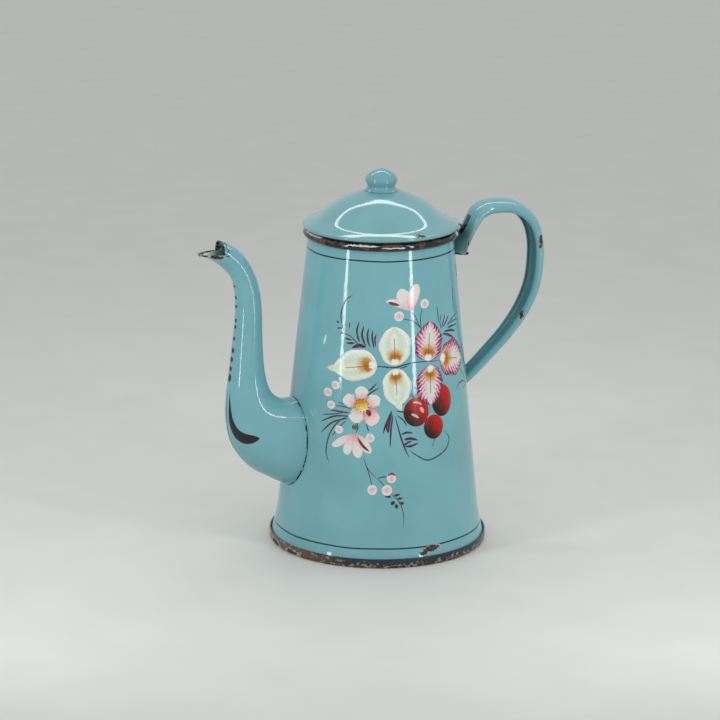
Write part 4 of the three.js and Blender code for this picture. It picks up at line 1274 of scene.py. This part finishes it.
# Marks on the spout: a row of dots down its front that runs out in a thin line, and a curled comma
# on either side, all in black.
DOT_ASIDE = 1.3
SPOUT_DOTS = [
    (198.7, 1.5, 1.2), (188.5, 1.5, 1.2), (181.3, 1.5, 1.2), (171.1, 1.5, 1.2), (166.8, 1.5, 1.2),
    (159.5, 1.5, 1.2), (152.3, 2.1, 1.7), (146.5, 2.1, 1.7), (140.7, 2.1, 1.7), (134.9, 2.7, 2.6),
]
SPOUT_COMMA = [
    (-4.5, 126.2), (-6.2, 114.2), (-7.8, 103.4), (-11.6, 92.4), (-18.2, 81.6), (-27.6, 68.5),
]
SPOUT_LINE = [(1.0, 127.0), (1.2, 112.0), (1.5, 97.0), (2.0, 80.0), (2.5, 66.0)]
neck_marks = [round_mark(DOT_ASIDE, *dot) for dot in SPOUT_DOTS]
for hand in (1, -1):
    curl = [(across * hand, up) for across, up in SPOUT_COMMA]
    neck_marks.append((curl, [(3.3, 0.78)] * 2, (1.2, 0.7), 0))
neck_marks.append(stroke(SPOUT_LINE, 0.7))
painted("neck_marks", neck_marks, one_colour("black_paint", "#05080a", "#0c1114"), 0.05, on_neck)

# Studio: a plain pale table top of laminate with a faint mottle. It reaches 6 metres out each way,
# so that it runs out of the picture.
TABLE_REACH = 6000
table_mesh = bmesh.new()
bmesh.ops.create_grid(table_mesh, x_segments=1, y_segments=1, size=TABLE_REACH * MM)
table = finished("table_top", table_mesh)
table_material, table_tree, table_shader, table_place = surface("pale_laminate", 0, 0.55)
table_grain = node(table_tree, "TexNoise", {"Vector": table_place, "Scale": 0.02}, "Fac")
table_shades = [(0.3, "#d8d9d4"), (0.7, "#dcddd8")]
table_colour = node(table_tree, "ValToRGB", {"Fac": table_grain}, ramp=table_shades)
table_tree.links.new(table_colour, table_shader.inputs["Base Color"])
table.data.materials.append(table_material)

# Lights: four long lamps of a light tent, two upright in front, a weak one along the top edge in
# front and a wider one behind, with a soft even fill from all round.
VIEW_TURN = Matrix.Rotation(math.radians(-20), 4, "Z")
LAMP_GLOW = 40.0
FILL_STRENGTH = 0.69
TENT_MIDDLE = Vector((0, 0, 120))
# Each lamp is its middle, its run, its width and its share of the glow.
LAMPS = [
    ((-325, -285, 345), (0, 0, 520), 30, 1.0),
    ((280, -285, 345), (0, 0, 520), 30, 1.0),
    ((-22, -285, 600), (605, 0, 0), 30, 0.18),
    ((0, 229, 600), (760, 0, 0), 42, 0.55),
]
for lamp_place, lamp_run, lamp_width, lamp_share in LAMPS:
    lamp_run = VIEW_TURN @ Vector(lamp_run)
    lamp_place = VIEW_TURN @ Vector(lamp_place)
    lamp_data = bpy.data.lights.new("tent_lamp", "AREA")
    lamp_data.shape = "RECTANGLE"
    lamp_data.size = lamp_run.length * MM
    lamp_data.size_y = lamp_width * MM
    lamp_data.energy = LAMP_GLOW * lamp_share * lamp_data.size * lamp_data.size_y
    lamp = bpy.data.objects.new("tent_lamp", lamp_data)
    bpy.context.scene.collection.objects.link(lamp)
    run = lamp_run.normalized()
    away = lamp_place - TENT_MIDDLE
    away = (away - run * away.dot(run)).normalized()
    pose = Matrix((run, away.cross(run), away)).transposed().to_4x4()
    pose.translation = lamp_place * MM
    lamp.matrix_world = pose
world = bpy.data.worlds.new("soft_fill")
bpy.context.scene.world = world
world.use_nodes = True
fill = world.node_tree.nodes["Background"].inputs
fill["Color"].default_value = linear("#f4f6f7")
fill["Strength"].default_value = FILL_STRENGTH

# Camera: a long lens, a little above the pot and to the spout's side of the handle. Its yaw, pitch
# and roll are in radians, and it is turned round the pot with the lamps.
CAMERA_PLACE = Vector((0, -1972.1, 654.8))
YAW, PITCH, ROLL = -0.006413, 0.26457, 0.010588
SENSOR, LENS = 36, 154.965
flat_run = math.cos(PITCH)
forward = Vector((math.sin(YAW) * flat_run, math.cos(YAW) * flat_run, -math.sin(PITCH)))
level = Vector((math.cos(YAW), -math.sin(YAW), 0))
upward = level.cross(forward)
side = math.cos(ROLL) * level + math.sin(ROLL) * upward
crown = math.cos(ROLL) * upward - math.sin(ROLL) * level
camera_data = bpy.data.cameras.new("camera")
camera_data.sensor_width = SENSOR
camera_data.lens = LENS
camera = bpy.data.objects.new("camera", camera_data)
bpy.context.scene.collection.objects.link(camera)
pose = Matrix((side, crown, -forward)).transposed().to_4x4()
pose.translation = CAMERA_PLACE * MM
camera.matrix_world = VIEW_TURN @ pose
bpy.context.scene.camera = camera
bpy.context.scene.view_settings.view_transform = "Standard"
